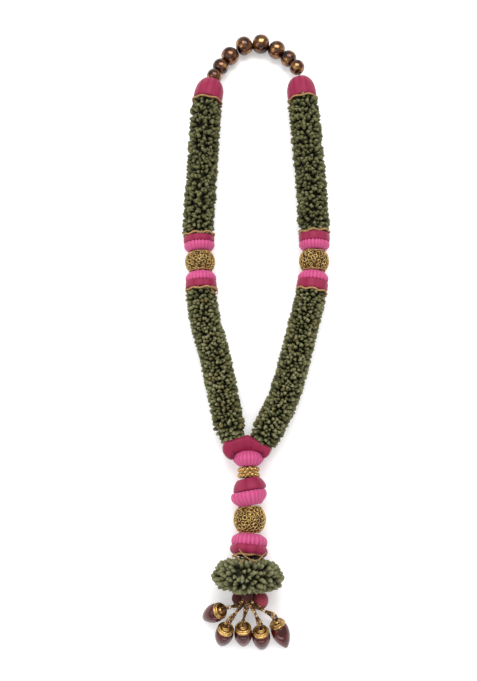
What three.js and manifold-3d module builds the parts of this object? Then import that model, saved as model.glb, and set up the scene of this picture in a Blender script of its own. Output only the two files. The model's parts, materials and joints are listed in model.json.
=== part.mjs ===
// A cardamom garland laid flat on a table: a loop of green cardamom pods stitched round two core
// ropes, a neck of gold-brown beads, and a pendant of fabric pads, a filigree ball, a pod ruffle
// and a tassel of glass drops. Millimetres, +Z up, the neck towards +Y, the table at z = 0.
import * as THREE from 'three';
import { mergeVertices } from 'three/addons/utils/BufferGeometryUtils.js';
import Module from 'manifold-3d';

const wasm = await Module();
wasm.setup();

// Driving dimensions.
const GAP = 0.4;                 // room left between pieces that touch
const SLACK = 2.2;               // room between threaded pieces, which turn with the curve
const TUBE_RADIUS = 23.5;        // across the flats of a pod tube, halved
const AXIS_Z = TUBE_RADIUS;      // height of the two legs' centrelines
const CORD_RADIUS = 1.2;         // waxed thread that holds everything
const CORD_SPREAD = 1.5;         // half the distance between its two runs in the pendant
const CORE_RADIUS = 8;           // padded rope inside a leg
const CORD_BORE = 3.8;           // hole for one run of the cord
const CORE_BORE = CORE_RADIUS + 1.4;
const PENDANT_BORE = 5.4;        // hole for both runs of the cord
const ZARI_RADIUS = 2.2;         // twisted gold cord
const RING_ROOM = ZARI_RADIUS + 1.3;
const STRAND_RADIUS = 3.1;       // a doubled string of seed beads
const DROP_RADIUS = 13;
const DROP_LENGTH = 38;
const CAP_RADIUS = 11.6;
const CAP_HEIGHT = 9.5;

// Centrelines, from the collar up to the neck, as [x, y].
const LEFT_LEG = [
  [-36, -142], [-42.5, -116], [-49.5, -80.5], [-57.5, -44.5], [-65.5, -8.5], [-76, 28], [-82.5, 65],
  [-84, 96], [-86, 134], [-88, 172], [-88, 200], [-86, 230], [-83.5, 269], [-81.5, 308],
  [-79.5, 348], [-76, 388],
];
const RIGHT_LEG = [
  [8.5, -147], [24.5, -116], [41, -80.5], [52, -44.5], [62, -8.5], [71.5, 28], [80.5, 65],
  [86, 96], [88.5, 134], [89, 172], [87.5, 200], [86.5, 230], [84, 269], [81, 308],
  [78, 348], [74, 388],
];

// Neck beads from left to right, as [x, y, z, size against the base bead].
const NECK_BEADS = [
  [-65.5, 429.5, 21, 0.82],
  [-55.5, 448.5, 16, 0.88],
  [-40.5, 467.5, 15, 0.98],
  [-18, 485, 14.8, 1.0],
  [9, 488, 15.2, 1.03],
  [34, 478, 15, 0.98],
  [53, 463, 15, 0.88],
  [66, 445.5, 19.5, 0.82],
];
const BEAD_RADIUS = 15;
const BEAD_HALF_LENGTH = 12.3;

// Pendant centreline, from the collar down to the tassel knot, as [x, y, z].
const PENDANT = [
  [-12.8, -158, 23.5], [-12.6, -176, 23.5], [-12, -193, 23.8], [-11.6, -211, 25],
  [-11.2, -231, 26], [-10.8, -260, 25.5], [-11, -290, 27.2], [-12.5, -306, 30.2],
  [-13.8, -322, 34.4], [-14.4, -340, 36.6], [-14.8, -360, 36], [-15, -375, 31],
];

// Where each leg piece starts and ends, as heights along Y.
const LEG_LEVELS = {
  left: { capTop: 420.5, capBase: 389.4, capRing: 385, ring: 166, barrelTop: 140,
    barrelBase: 108.5, lowerRing: 80.5, upperSplit: 153.5, lowerSplit: 94 },
  right: { capTop: 424, capBase: 391.6, capRing: 387.6, ring: 170, barrelTop: 141.5,
    barrelBase: 109, lowerRing: 78.5, upperSplit: 155, lowerSplit: 94.5 },
};

// Tassel drops, as the middle of the gold cap's top, the heading in plan and the slope down.
const DROPS = [
  { cap: [-48.5, -384], heading: 209, slope: 44 },
  { cap: [-43.5, -406.5], heading: 254, slope: 46 },
  { cap: [-20.5, -405], heading: 271, slope: 44 },
  { cap: [4, -409.5], heading: 275, slope: 44 },
  { cap: [25.5, -400], heading: 292, slope: 21 },
];

const finish = (color, roughness, metalness) =>
  new THREE.MeshStandardMaterial({ color, roughness, metalness });
const pods = finish(0x54573a, 0.75, 0);
const magentaSatin = finish(0xa22d53, 0.55, 0);
const pinkSatin = finish(0xc85a8b, 0.55, 0);
const goldWire = finish(0x93743f, 0.35, 0.9);
const antiqueGold = finish(0x6b4426, 0.22, 0.8);
const zari = finish(0x9c7a4a, 0.5, 0.5);
const maroonThread = finish(0x4a1c1a, 0.8, 0);
const maroonGlass = finish(0x4a2322, 0.08, 0);
const maroonFelt = finish(0x74303a, 0.95, 0);
const cottonRope = finish(0x3f4427, 0.95, 0);

const garland = new THREE.Group();

function add(name, geometry, material, parent = garland) {
  const mesh = new THREE.Mesh(geometry, material);
  mesh.name = name;
  parent.add(mesh);
  return mesh;
}

function curveThrough(points) {
  return new THREE.CatmullRomCurve3(points, false, 'centripetal');
}

// The point of a curve at a height along Y, for a curve that runs steadily up or down.
function parameterAt(curve, y) {
  const rising = curve.getPoint(1).y > curve.getPoint(0).y;
  let low = 0;
  let high = 1;
  for (let i = 0; i < 40; i += 1) {
    const middle = (low + high) / 2;
    const below = curve.getPoint(middle).y < y;
    if (below === rising) low = middle;
    else high = middle;
  }
  return (low + high) / 2;
}

function part(curve, fromY, toY, steps) {
  const start = parameterAt(curve, fromY);
  const end = parameterAt(curve, toY);
  const points = [];
  for (let i = 0; i <= steps; i += 1) {
    points.push(curve.getPoint(start + ((end - start) * i) / steps));
  }
  return curveThrough(points);
}

// Puts a turned piece at a point, its own Y axis along the direction and its Z axis upwards.
function align(mesh, point, direction) {
  const forward = direction.clone().normalize();
  const side = new THREE.Vector3().crossVectors(forward, new THREE.Vector3(0, 0, 1)).normalize();
  const up = new THREE.Vector3().crossVectors(side, forward);
  mesh.position.copy(point);
  mesh.quaternion.setFromRotationMatrix(new THREE.Matrix4().makeBasis(side, forward, up));
  return mesh;
}

// Strings a turned piece on a curve between two heights along Y, with some slack at either end.
// The piece is made by a function of its length, from y = 0 up.
function thread(name, curve, fromY, toY, make, material) {
  const start = curve.getPoint(parameterAt(curve, fromY));
  const end = curve.getPoint(parameterAt(curve, toY));
  const length = start.distanceTo(end) - SLACK;
  const geometry = make(length);
  geometry.translate(0, -length / 2, 0);
  const middle = start.clone().lerp(end, 0.5);
  return align(add(name, geometry, material), middle, end.clone().sub(start));
}

// A turned ring from a closed outline of [radius, height] points, which runs anticlockwise.
function turned(outline, segments) {
  const points = [...outline, outline[0]].map(([radius, height]) => new THREE.Vector2(radius, height));
  return new THREE.LatheGeometry(points, segments);
}

function regularOutline(radius, sides, turn = 0) {
  const points = [];
  for (let i = 0; i < sides; i += 1) {
    const angle = turn + (i * 2 * Math.PI) / sides;
    points.push(new THREE.Vector2(radius * Math.cos(angle), radius * Math.sin(angle)));
  }
  return points;
}

function rod(curve, radius, sides, steps) {
  const section = new THREE.Shape(regularOutline(radius, sides));
  return new THREE.ExtrudeGeometry(section, { extrudePath: curve, steps, bevelEnabled: false });
}

function hollowRod(curve, radius, bore, sides, steps, turn = 0) {
  const section = new THREE.Shape(regularOutline(radius, sides, turn));
  section.holes.push(new THREE.Path(regularOutline(bore, 8)));
  return new THREE.ExtrudeGeometry(section, { extrudePath: curve, steps, bevelEnabled: false });
}

// A sleeve with a flat side down, so that it lies on the table.
function sleeve(curve, flatRadius, bore, sides, steps) {
  const halfStep = Math.PI / sides;
  return hollowRod(curve, flatRadius / Math.cos(halfStep), bore, sides, steps, halfStep);
}

// A ring of round cord, threaded on a curve at a height along Y.
function addCordRing(name, radius, curve, y) {
  const outline = regularOutline(ZARI_RADIUS, 6).map((point) => [radius + point.x, point.y]);
  const t = parameterAt(curve, y);
  align(add(name, turned(outline, 12), zari), curve.getPoint(t), curve.getTangent(t));
}

// A stuffed band or pad, given the radius at its start, middle and end.
const cushion = (start, middle, end, bore) => (length) => turned([
  [bore, 0], [start * 0.86, 0], [start, length * 0.16], [middle, length * 0.5],
  [end, length * 0.84], [end * 0.86, length], [bore, length],
], 12);

function toSolid(mesh) {
  mesh.updateMatrixWorld(true);
  const source = mesh.geometry.clone().applyMatrix4(mesh.matrixWorld);
  source.deleteAttribute('normal');
  source.deleteAttribute('uv');
  const merged = mergeVertices(source, 1e-4);
  return new wasm.Manifold(new wasm.Mesh({
    numProp: 3,
    vertProperties: merged.attributes.position.array,
    triVerts: Uint32Array.from(merged.index.array),
  }));
}

function fromSolid(solid) {
  const { vertProperties, triVerts } = solid.getMesh();
  const geometry = new THREE.BufferGeometry();
  geometry.setAttribute('position', new THREE.BufferAttribute(vertProperties, 3));
  geometry.setIndex(new THREE.BufferAttribute(triVerts, 1));
  geometry.computeVertexNormals();
  return geometry;
}

function addTopCap(side, leg, levels) {
  const domed = (height) => turned([
    [CORE_BORE + 0.6, 0], [22.6, 0], [22.9, height * 0.25], [21.6, height * 0.55],
    [18.2, height * 0.82], [15.6, height], [14.2, height], [13, height - 7],
    [CORD_BORE, height - 7.4], [CORD_BORE, height * 0.56], [CORE_BORE + 0.6, height * 0.56],
  ], 14);
  thread(`${side}_top_cap`, leg, levels.capBase, levels.capTop, domed, magentaSatin);
}

function addMidJoint(side, leg, levels) {
  const drum = (length) => turned([
    [CORE_BORE, 0], [16, 0], [20.4, length * 0.12], [22.8, length * 0.34], [22.8, length * 0.66],
    [20.4, length * 0.88], [16, length], [CORE_BORE, length],
  ], 16);
  thread(`${side}_filigree_barrel`, leg, levels.barrelBase, levels.barrelTop, drum, goldWire);

  const lowest = levels.lowerRing + RING_ROOM;
  const highest = levels.ring - RING_ROOM;
  const bands = [
    ['lower_magenta_band', lowest, levels.lowerSplit, [22.4, 23.2, 22.6], magentaSatin],
    ['lower_pink_puff', levels.lowerSplit, levels.barrelBase, [22.2, 21.8, 16.5], pinkSatin],
    ['upper_pink_puff', levels.barrelTop, levels.upperSplit, [16.5, 22, 22.2], pinkSatin],
    ['upper_magenta_band', levels.upperSplit, highest, [22.4, 23.2, 23], magentaSatin],
  ];
  bands.forEach(([name, from, to, radii, material]) => {
    thread(`${side}_${name}`, leg, from, to, cushion(...radii, CORE_BORE), material);
  });
}

function addLeg(side, leg, levels) {
  const flat = (curve) => curveThrough(curve.points.map((point) => point.clone().setZ(AXIS_Z)));
  const endY = leg.getPoint(0).y;
  const upper = flat(part(leg, levels.ring + RING_ROOM, levels.capRing - RING_ROOM, 8));
  const lower = flat(part(leg, endY, levels.lowerRing - RING_ROOM, 9));
  add(`${side}_upper_cardamom_tube`, sleeve(upper, TUBE_RADIUS, CORE_BORE, 12, 8), pods);
  add(`${side}_lower_cardamom_tube`, sleeve(lower, TUBE_RADIUS, CORE_BORE, 12, 9), pods);

  const ropeTop = levels.capBase + 0.5 * (levels.capTop - levels.capBase);
  const rope = part(leg, endY, ropeTop, 14);
  add(`${side}_core_rope`, hollowRod(rope, CORE_RADIUS, CORD_BORE, 8, 14), cottonRope);

  addTopCap(side, leg, levels);
  addMidJoint(side, leg, levels);
  const rings = { cap_zari_cord: 'capRing', upper_zari_cord: 'ring', lower_zari_cord: 'lowerRing' };
  Object.entries(rings).forEach(([name, level]) => {
    addCordRing(`${side}_${name}`, TUBE_RADIUS - ZARI_RADIUS - 0.1, leg, levels[level]);
  });
}

function addNeckBeads(neck) {
  NECK_BEADS.forEach(([x, y, z, size], index) => {
    const outline = [[CORD_BORE, -BEAD_HALF_LENGTH * size]];
    for (let i = 0; i <= 5; i += 1) {
      const angle = -1.25 + (i * 2.5) / 5;
      const height = BEAD_HALF_LENGTH * Math.sin(angle) / Math.sin(1.25);
      outline.push([BEAD_RADIUS * Math.cos(angle) * size, height * size]);
    }
    outline.push([CORD_BORE, BEAD_HALF_LENGTH * size]);
    const t = (index + 1) / (NECK_BEADS.length + 1);
    const bead = add(`neck_bead_${index + 1}`, turned(outline, 12), antiqueGold);
    align(bead, new THREE.Vector3(x, y, z), neck.getTangent(t));
  });
}

function addCollar(cordRoute) {
  const outline = new THREE.Shape();
  outline.moveTo(-12.8, -138.4);
  outline.lineTo(-50, -148.6);
  outline.quadraticCurveTo(-57, -160, -50, -168);
  outline.quadraticCurveTo(-44, -176, -36, -174.5);
  outline.lineTo(-35.6, -165);
  outline.lineTo(10.4, -165);
  outline.lineTo(10.8, -173);
  outline.quadraticCurveTo(19, -172, 22, -164);
  outline.quadraticCurveTo(24, -160, 22, -157.2);
  const blank = new THREE.ExtrudeGeometry(outline, {
    depth: 26, bevelEnabled: true, bevelThickness: 6, bevelSize: 3.4, bevelOffset: -3.4,
    bevelSegments: 1, curveSegments: 3,
  });
  const body = new THREE.Mesh(blank);
  body.position.z = AXIS_Z - 13;
  let solid = toSolid(body);
  cordRoute.forEach((run) => {
    solid = solid.subtract(toSolid(new THREE.Mesh(rod(run, CORD_BORE + 1.1, 8, 10))));
  });
  add('magenta_collar', fromSolid(solid), magentaSatin);
}

function addPendant(pendant) {
  const flange = PENDANT_BORE;
  const barrel = (length) => turned([
    [flange, 0], [14.5, 0], [16, length * 0.18], [16, length * 0.82], [14.5, length], [flange, length],
  ], 14);
  const ball = (length) => {
    const outline = [[flange, 0]];
    for (let i = 0; i <= 8; i += 1) {
      const height = -length / 2 + (i * length) / 8;
      outline.push([Math.sqrt(23.5 ** 2 - height ** 2), height + length / 2]);
    }
    return turned([...outline, [flange, length]], 16);
  };
  const ruffle = (length) => turned([
    [flange, 0], [24, 0], [40, length * 0.12], [48, length * 0.36], [49.5, length * 0.58],
    [46, length * 0.82], [35, length], [flange, length],
  ], 16);
  // Each piece's name, its top and bottom height along Y, its shape, its material and its lean.
  const pieces = [
    ['pendant_pink_puff', -166, -184, cushion(20.5, 22, 14, flange), pinkSatin, 0],
    ['small_gold_barrel', -184, -202, barrel, goldWire, 0],
    ['upper_magenta_pad', -203.4, -219.6, cushion(17, 23.2, 22.8, flange), magentaSatin, 10],
    ['upper_pink_pad', -219.6, -239, cushion(24, 25.4, 17.5, flange), pinkSatin, 10],
    ['filigree_ball', -239.6, -280, ball, goldWire, 0],
    ['lower_pink_pad', -280, -296, cushion(16.5, 24.6, 23.4, flange), pinkSatin, -2],
    ['lower_magenta_pad', -296.6, -310, cushion(24.4, 26.6, 21, flange), magentaSatin, -2],
    ['cardamom_ruffle', -317.4, -359.4, ruffle, pods, 0],
  ];
  pieces.forEach(([name, top, bottom, shape, material, lean]) => {
    const piece = thread(name, pendant, top, bottom, shape, material);
    piece.rotateZ(THREE.MathUtils.degToRad(lean));
    if (name === 'cardamom_ruffle') piece.scale.z = 0.7;
  });
  addCordRing('ruffle_zari_cord', 20, pendant, -312.2);
}

function addTassel() {
  const feltBalls = [['felt_ball_left', [-25.5, -371, 14.5], 11], ['felt_ball_right', [2.8, -373.6, 19], 13]];
  feltBalls.forEach(([name, place, radius]) => {
    add(name, new THREE.SphereGeometry(radius, 12, 8), maroonFelt).position.set(...place);
  });

  const profile = [
    [0, -DROP_LENGTH], [3.6, -35.4], [7.4, -29], [11.6, -18], [DROP_RADIUS, -9.5],
    [12.2, -3.6], [9.6, 0], [0, 0],
  ].map(([radius, height]) => new THREE.Vector2(radius, height));
  const capOutline = [
    [1.4, GAP], [CAP_RADIUS, GAP], [CAP_RADIUS, 2.8], [9.8, 3.8], [9, 6.2],
    [5, 7], [3, CAP_HEIGHT], [1.4, CAP_HEIGHT],
  ];
  DROPS.forEach(({ cap, heading, slope }, index) => {
    const hanger = new THREE.Group();
    const plan = THREE.MathUtils.degToRad(heading);
    const fall = THREE.MathUtils.degToRad(slope);
    const along = new THREE.Vector3(
      Math.cos(plan) * Math.cos(fall), Math.sin(plan) * Math.cos(fall), -Math.sin(fall),
    );
    align(hanger, new THREE.Vector3(), along.clone().negate());
    garland.add(hanger);
    add(`glass_drop_${index + 1}`, new THREE.LatheGeometry(profile, 12), maroonGlass, hanger);
    add(`drop_cap_${index + 1}`, turned(capOutline, 12), goldWire, hanger);
    hanger.updateMatrixWorld(true);
    const lowest = new THREE.Box3().setFromObject(hanger, true).min.z;
    const top = along.clone().multiplyScalar(CAP_HEIGHT);
    hanger.position.set(cap[0] + top.x, cap[1] + top.y, -lowest);

    const entry = new THREE.Vector3(cap[0], cap[1], -lowest + -top.z);
    const lead = entry.clone().addScaledVector(along, -GAP);
    const spread = index - 2;
    const upper = index % 2 === 1;
    const knot = new THREE.Vector3(-16.4 + spread * 4.2, upper ? -379 : -383, upper ? 37.4 : 30);
    const before = lead.clone().addScaledVector(along, -7);
    const sag = knot.clone().lerp(before, 0.5).add(new THREE.Vector3(0, 0, 0.6));
    const strand = curveThrough([knot, sag, before, lead]);
    add(`tassel_strand_${index + 1}`, rod(strand, STRAND_RADIUS, 8, 5), antiqueGold);
  });
}

const onAxis = ([x, y]) => new THREE.Vector3(x, y, AXIS_Z);
const beadCentres = NECK_BEADS.map(([x, y, z]) => new THREE.Vector3(x, y, z));
const leftTop = new THREE.Vector3(-71.6, 410, 23.5);
const rightTop = new THREE.Vector3(71.6, 412, 23.5);
const leftLeg = curveThrough([...LEFT_LEG.map(onAxis), leftTop, beadCentres[0]]);
const rightLeg = curveThrough([...RIGHT_LEG.map(onAxis), rightTop, beadCentres[7]]);
const neck = curveThrough([leftTop, ...beadCentres, rightTop]);
const pendantDown = curveThrough(PENDANT.map((point) => new THREE.Vector3(...point)));

// One thread: up the pendant, round the whole loop and down the pendant again, beside itself.
function cordRun(shift) {
  return PENDANT.map(([x, y, z]) => new THREE.Vector3(x + shift, y, z));
}
const cordPoints = [
  ...cordRun(-CORD_SPREAD).reverse(),
  ...LEFT_LEG.map(onAxis),
  leftTop,
  ...beadCentres,
  rightTop,
  ...RIGHT_LEG.map(onAxis).reverse(),
  ...cordRun(CORD_SPREAD),
];
add('main_cord', rod(curveThrough(cordPoints), CORD_RADIUS, 8, 96), maroonThread);

addLeg('left', leftLeg, LEG_LEVELS.left);
addLeg('right', rightLeg, LEG_LEVELS.right);
addNeckBeads(neck);
const nearCollar = (shift, leg) => curveThrough([
  ...cordRun(shift).slice(0, 3).reverse(),
  ...leg.slice(0, 2).map(onAxis),
]);
addCollar([nearCollar(-CORD_SPREAD, LEFT_LEG), nearCollar(CORD_SPREAD, RIGHT_LEG)]);
addPendant(pendantDown);
addTassel();

// The origin is the middle of the footprint, on the table.
garland.updateMatrixWorld(true);
const box = new THREE.Box3().setFromObject(garland, true);
garland.position.set(-(box.min.x + box.max.x) / 2, -(box.min.y + box.max.y) / 2, -box.min.z);

export default garland;
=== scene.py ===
# %% [markdown]
# # A cardamom garland
# A wedding garland of green cardamom pods, laid flat on a table: two legs of stitched pods, a neck of
# antique-gold beads, satin joints, a filigree ball, a ruffle of pods and a tassel of glass drops.
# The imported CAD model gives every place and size. This script gives each piece its real surface.
# %% Load the frame
import math

import bmesh
import bpy
import numpy as np
from mathutils import Matrix, Vector
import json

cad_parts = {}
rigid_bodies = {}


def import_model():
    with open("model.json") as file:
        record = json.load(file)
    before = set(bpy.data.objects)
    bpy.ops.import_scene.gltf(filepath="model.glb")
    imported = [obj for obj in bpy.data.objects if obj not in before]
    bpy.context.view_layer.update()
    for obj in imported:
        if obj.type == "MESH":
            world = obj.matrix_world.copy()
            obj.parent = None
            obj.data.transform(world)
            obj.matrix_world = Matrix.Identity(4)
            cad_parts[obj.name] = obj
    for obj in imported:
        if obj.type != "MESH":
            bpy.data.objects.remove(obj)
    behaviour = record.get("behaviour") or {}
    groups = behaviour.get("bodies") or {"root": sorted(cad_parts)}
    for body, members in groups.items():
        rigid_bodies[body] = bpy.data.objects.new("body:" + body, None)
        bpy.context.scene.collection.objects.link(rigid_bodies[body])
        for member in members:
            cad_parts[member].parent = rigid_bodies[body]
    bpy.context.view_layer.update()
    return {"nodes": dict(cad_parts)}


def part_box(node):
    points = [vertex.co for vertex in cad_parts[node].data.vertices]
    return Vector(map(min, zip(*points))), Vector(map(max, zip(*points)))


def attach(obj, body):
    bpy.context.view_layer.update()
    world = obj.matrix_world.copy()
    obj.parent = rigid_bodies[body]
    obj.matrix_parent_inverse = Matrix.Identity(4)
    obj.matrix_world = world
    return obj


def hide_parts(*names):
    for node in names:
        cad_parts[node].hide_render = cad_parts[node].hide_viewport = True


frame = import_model()
MM = 0.001

# %% [markdown]
# ## The lines that everything is threaded on
# The garland is strung, so most pieces sit on one of a few lines: the two legs, the neck and the
# pendant. The lines pass smoothly through given points, in millimetres, in the maker's own
# measure. The right felt ball is at a known point of that measure, which gives the shift to the frame.
# %% Lines
LEG_HEIGHT = 23.5
LEFT_LEG = [
    (-36, -142), (-42.5, -116), (-49.5, -80.5), (-57.5, -44.5), (-65.5, -8.5), (-76, 28), (-82.5, 65),
    (-84, 96), (-86, 134), (-88, 172), (-88, 200), (-86, 230), (-83.5, 269), (-81.5, 308),
    (-79.5, 348), (-76, 388),
]
RIGHT_LEG = [
    (8.5, -147), (24.5, -116), (41, -80.5), (52, -44.5), (62, -8.5), (71.5, 28), (80.5, 65),
    (86, 96), (88.5, 134), (89, 172), (87.5, 200), (86.5, 230), (84, 269), (81, 308),
    (78, 348), (74, 388),
]
LEFT_TOP, RIGHT_TOP = (-71.6, 410, 23.5), (71.6, 412, 23.5)
NECK = [
    (-65.5, 429.5, 21), (-55.5, 448.5, 16), (-40.5, 467.5, 15), (-18, 485, 14.8),
    (9, 488, 15.2), (34, 478, 15), (53, 463, 15), (66, 445.5, 19.5),
]
PENDANT = [
    (-12.8, -158, 23.5), (-12.6, -176, 23.5), (-12, -193, 23.8), (-11.6, -211, 25),
    (-11.2, -231, 26), (-10.8, -260, 25.5), (-11, -290, 27.2), (-12.5, -306, 30.2),
    (-13.8, -322, 34.4), (-14.4, -340, 36.6), (-14.8, -360, 36), (-15, -375, 31),
]
FELT_BALL_PLACE = np.array((2.8, -373.6, 19.0))


def box_middle(node):
    low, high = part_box(node)
    return (np.array(low) + np.array(high)) / 2


SHIFT = box_middle("felt_ball_right") - FELT_BALL_PLACE * MM


def in_frame(points):
    """Turns points of the maker's measure into metres of the frame."""
    return np.array(points, float) * MM + SHIFT


def smooth_line(points, spans=24):
    """A centripetal Catmull-Rom line through the points, as many short straight steps."""
    p = np.array(points, float)
    p = np.vstack([2 * p[0] - p[1], p, 2 * p[-1] - p[-2]])
    pieces = []
    for a, b, c, d in zip(p, p[1:], p[2:], p[3:]):
        t1 = np.linalg.norm(b - a) ** 0.5
        t2 = t1 + np.linalg.norm(c - b) ** 0.5
        t3 = t2 + np.linalg.norm(d - c) ** 0.5
        t = np.linspace(t1, t2, spans, endpoint=False)[:, None]
        ab = (1 - t / t1) * a + t / t1 * b
        bc = (t2 - t) / (t2 - t1) * b + (t - t1) / (t2 - t1) * c
        cd = (t3 - t) / (t3 - t2) * c + (t - t2) / (t3 - t2) * d
        abc = (t2 - t) / t2 * ab + t / t2 * bc
        bcd = (t3 - t) / (t3 - t1) * bc + (t - t1) / (t3 - t1) * cd
        pieces.append((t2 - t) / (t2 - t1) * abc + (t - t1) / (t2 - t1) * bcd)
    pieces.append(p[-2:-1])
    return np.vstack(pieces)


def resampled(line, count):
    """The same line with evenly spaced points."""
    reach = np.concatenate([[0], np.cumsum(np.linalg.norm(np.diff(line, axis=0), axis=1))])
    wanted = np.linspace(0, reach[-1], count)
    return np.column_stack([np.interp(wanted, reach, line[:, k]) for k in range(3)])


def length_of(line):
    return float(np.linalg.norm(np.diff(line, axis=0), axis=1).sum())


def leg_points(points):
    return [(x, y, LEG_HEIGHT) for x, y in points]


left_leg = in_frame(smooth_line([*leg_points(LEFT_LEG), LEFT_TOP, NECK[0]]))
right_leg = in_frame(smooth_line([*leg_points(RIGHT_LEG), RIGHT_TOP, NECK[-1]]))
neck = in_frame(smooth_line([LEFT_TOP, *NECK, RIGHT_TOP]))
pendant = in_frame(smooth_line(PENDANT))
print(f"left leg {length_of(left_leg):.3f} m, right leg {length_of(right_leg):.3f} m")

# %% [markdown]
# ## Camera
# The camera looks down on the laid garland from a little on the tassel's side, so that every band
# round a leg shows as a shallow arch.
# %% Camera
AIM = in_frame([(-27, 3, 23)])[0]
CAMERA_DISTANCE = 1.3
CAMERA_TILT = math.radians(10)
camera = bpy.data.objects.new("camera", bpy.data.cameras.new("camera"))
bpy.context.scene.collection.objects.link(camera)
camera.data.lens = 45.8
camera.data.sensor_width = 36
camera.data.clip_end = 20
offset = Vector((0, -math.sin(CAMERA_TILT), math.cos(CAMERA_TILT))) * CAMERA_DISTANCE
camera.location = Vector(AIM) + offset
camera.rotation_euler = (CAMERA_TILT, 0, 0)
bpy.context.scene.camera = camera
bpy.context.scene.view_settings.view_transform = "Standard"
print(f"the camera is {CAMERA_DISTANCE} m away, tilted {math.degrees(CAMERA_TILT):.0f} degrees")

# %% [markdown]
# ## Small tools
# Colours are picked in sRGB, as on a colour card, and Blender works in linear light, so one function
# converts them. Another adds a node to a tree with its settings and links.
# %% Tools for colours and nodes


def srgb(code):
    """A #rrggbb colour as linear red, green, blue and alpha."""
    parts = [int(code[i:i + 2], 16) / 255 for i in (1, 3, 5)]
    linear = [c / 12.92 if c <= 0.04045 else ((c + 0.055) / 1.055) ** 2.4 for c in parts]
    return (*linear, 1.0)


def add_node(tree, kind, inputs=None, **settings):
    """Adds a node. An input is given a value, or another node's output to link to."""
    node = tree.nodes.new(kind)
    for name, value in settings.items():
        setattr(node, name, value)
    for name, value in (inputs or {}).items():
        if isinstance(value, bpy.types.NodeSocket):
            tree.links.new(value, node.inputs[name])
        else:
            node.inputs[name].default_value = value
    return node


def ramp(tree, factor, stops):
    """A colour ramp through (place, #colour) stops."""
    node = add_node(tree, "ShaderNodeValToRGB", {"Fac": factor})
    elements = node.color_ramp.elements
    while len(elements) < len(stops):
        elements.new(0.5)
    for element, (place, code) in zip(elements, stops):
        element.position = place
        element.color = srgb(code)
    return node.outputs["Color"]


def surface_material(name, build):
    """A material whose build function is given the tree and returns the shader's inputs."""
    material = bpy.data.materials.new(name)
    material.use_nodes = True
    tree = material.node_tree
    tree.nodes.clear()
    shader = add_node(tree, "ShaderNodeBsdfPrincipled", build(tree))
    add_node(tree, "ShaderNodeOutputMaterial", {"Surface": shader.outputs["BSDF"]})
    return material


def object_position(tree):
    return add_node(tree, "ShaderNodeTexCoord").outputs["Object"]


def noise(tree, size_mm, detail=2.0, vector=None):
    """Noise whose blotches are about that many millimetres across."""
    place = object_position(tree) if vector is None else vector
    return add_node(tree, "ShaderNodeTexNoise",
                    {"Vector": place, "Scale": 1 / (size_mm * MM), "Detail": detail}).outputs["Fac"]


def bump(tree, height, depth_mm, strength=1.0):
    return add_node(tree, "ShaderNodeBump",
                    {"Height": height, "Distance": depth_mm * MM, "Strength": strength}).outputs["Normal"]


def attribute(tree, name, output="Fac"):
    return add_node(tree, "ShaderNodeAttribute", attribute_name=name).outputs[output]


def mixed(tree, factor, first, second, blend="MIX"):
    """Two colours mixed. Either may be a #colour or an output."""
    colours = [srgb(c) if isinstance(c, str) else c for c in (first, second)]
    node = add_node(tree, "ShaderNodeMix", {0: factor, 6: colours[0], 7: colours[1]},
                    data_type="RGBA", blend_type=blend)
    return node.outputs[2]


def maths(tree, operation, *values):
    return add_node(tree, "ShaderNodeMath", dict(enumerate(values)), operation=operation).outputs[0]


# %% [markdown]
# ## Finishes
# Each finish starts from what the real material is and how its surface was made. Some also carry painted
# shade and painted highlight.
# %% Dried cardamom husk


def cardamom_husk(tree):
    """Papery dried husk: matt and ribbed lengthwise, each pod its own green, with painted shade that darkens
    it towards the root.
    """
    tint = attribute(tree, "pod_tint")
    lengthwise = attribute(tree, "pod_uv", "Vector")
    across, along, _ = add_node(tree, "ShaderNodeSeparateXYZ", {"Vector": lengthwise}).outputs
    green = ramp(tree, tint, [(0.0, "#4b4a28"), (0.3, "#6a6a40"), (0.62, "#848358"), (0.92, "#a3a27a"),
                              (0.97, "#8c7d48"), (1.0, "#6b5533")])
    # Painted shade: each pod runs from near black at its root to its full colour at the tip, for the shade
    # where the pods crowd.
    depth = ramp(tree, along, [(0.0, "#1d1e0c"), (0.45, "#5d5d46"), (0.8, "#e6e6dc"), (1.0, "#ffffff")])
    body = mixed(tree, 1.0, green, depth, "MULTIPLY")
    blotch = noise(tree, 3.0, 3.0)
    mottled = mixed(tree, blotch, mixed(tree, 0.5, body, "#3c3d20"), body)
    ribs = maths(tree, "SINE", maths(tree, "MULTIPLY", across, 2 * math.pi * 9))
    return {"Base Color": mottled, "Roughness": 0.62, "Specular IOR Level": 0.35,
            "Normal": bump(tree, ribs, 0.12, 0.7)}


husk = surface_material("dried_cardamom_husk", cardamom_husk)
print("husk finish:", husk.name)

# %% [markdown]
# ### Satin
# Satin ribbon is woven so that long threads float on its face and shine softly. Shade is painted into each
# pleat: the colour follows each piece's own pleat value, painted darkest where a pleat goes down to the
# thread and lighter on its crest.
# %% Woven satin


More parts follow.
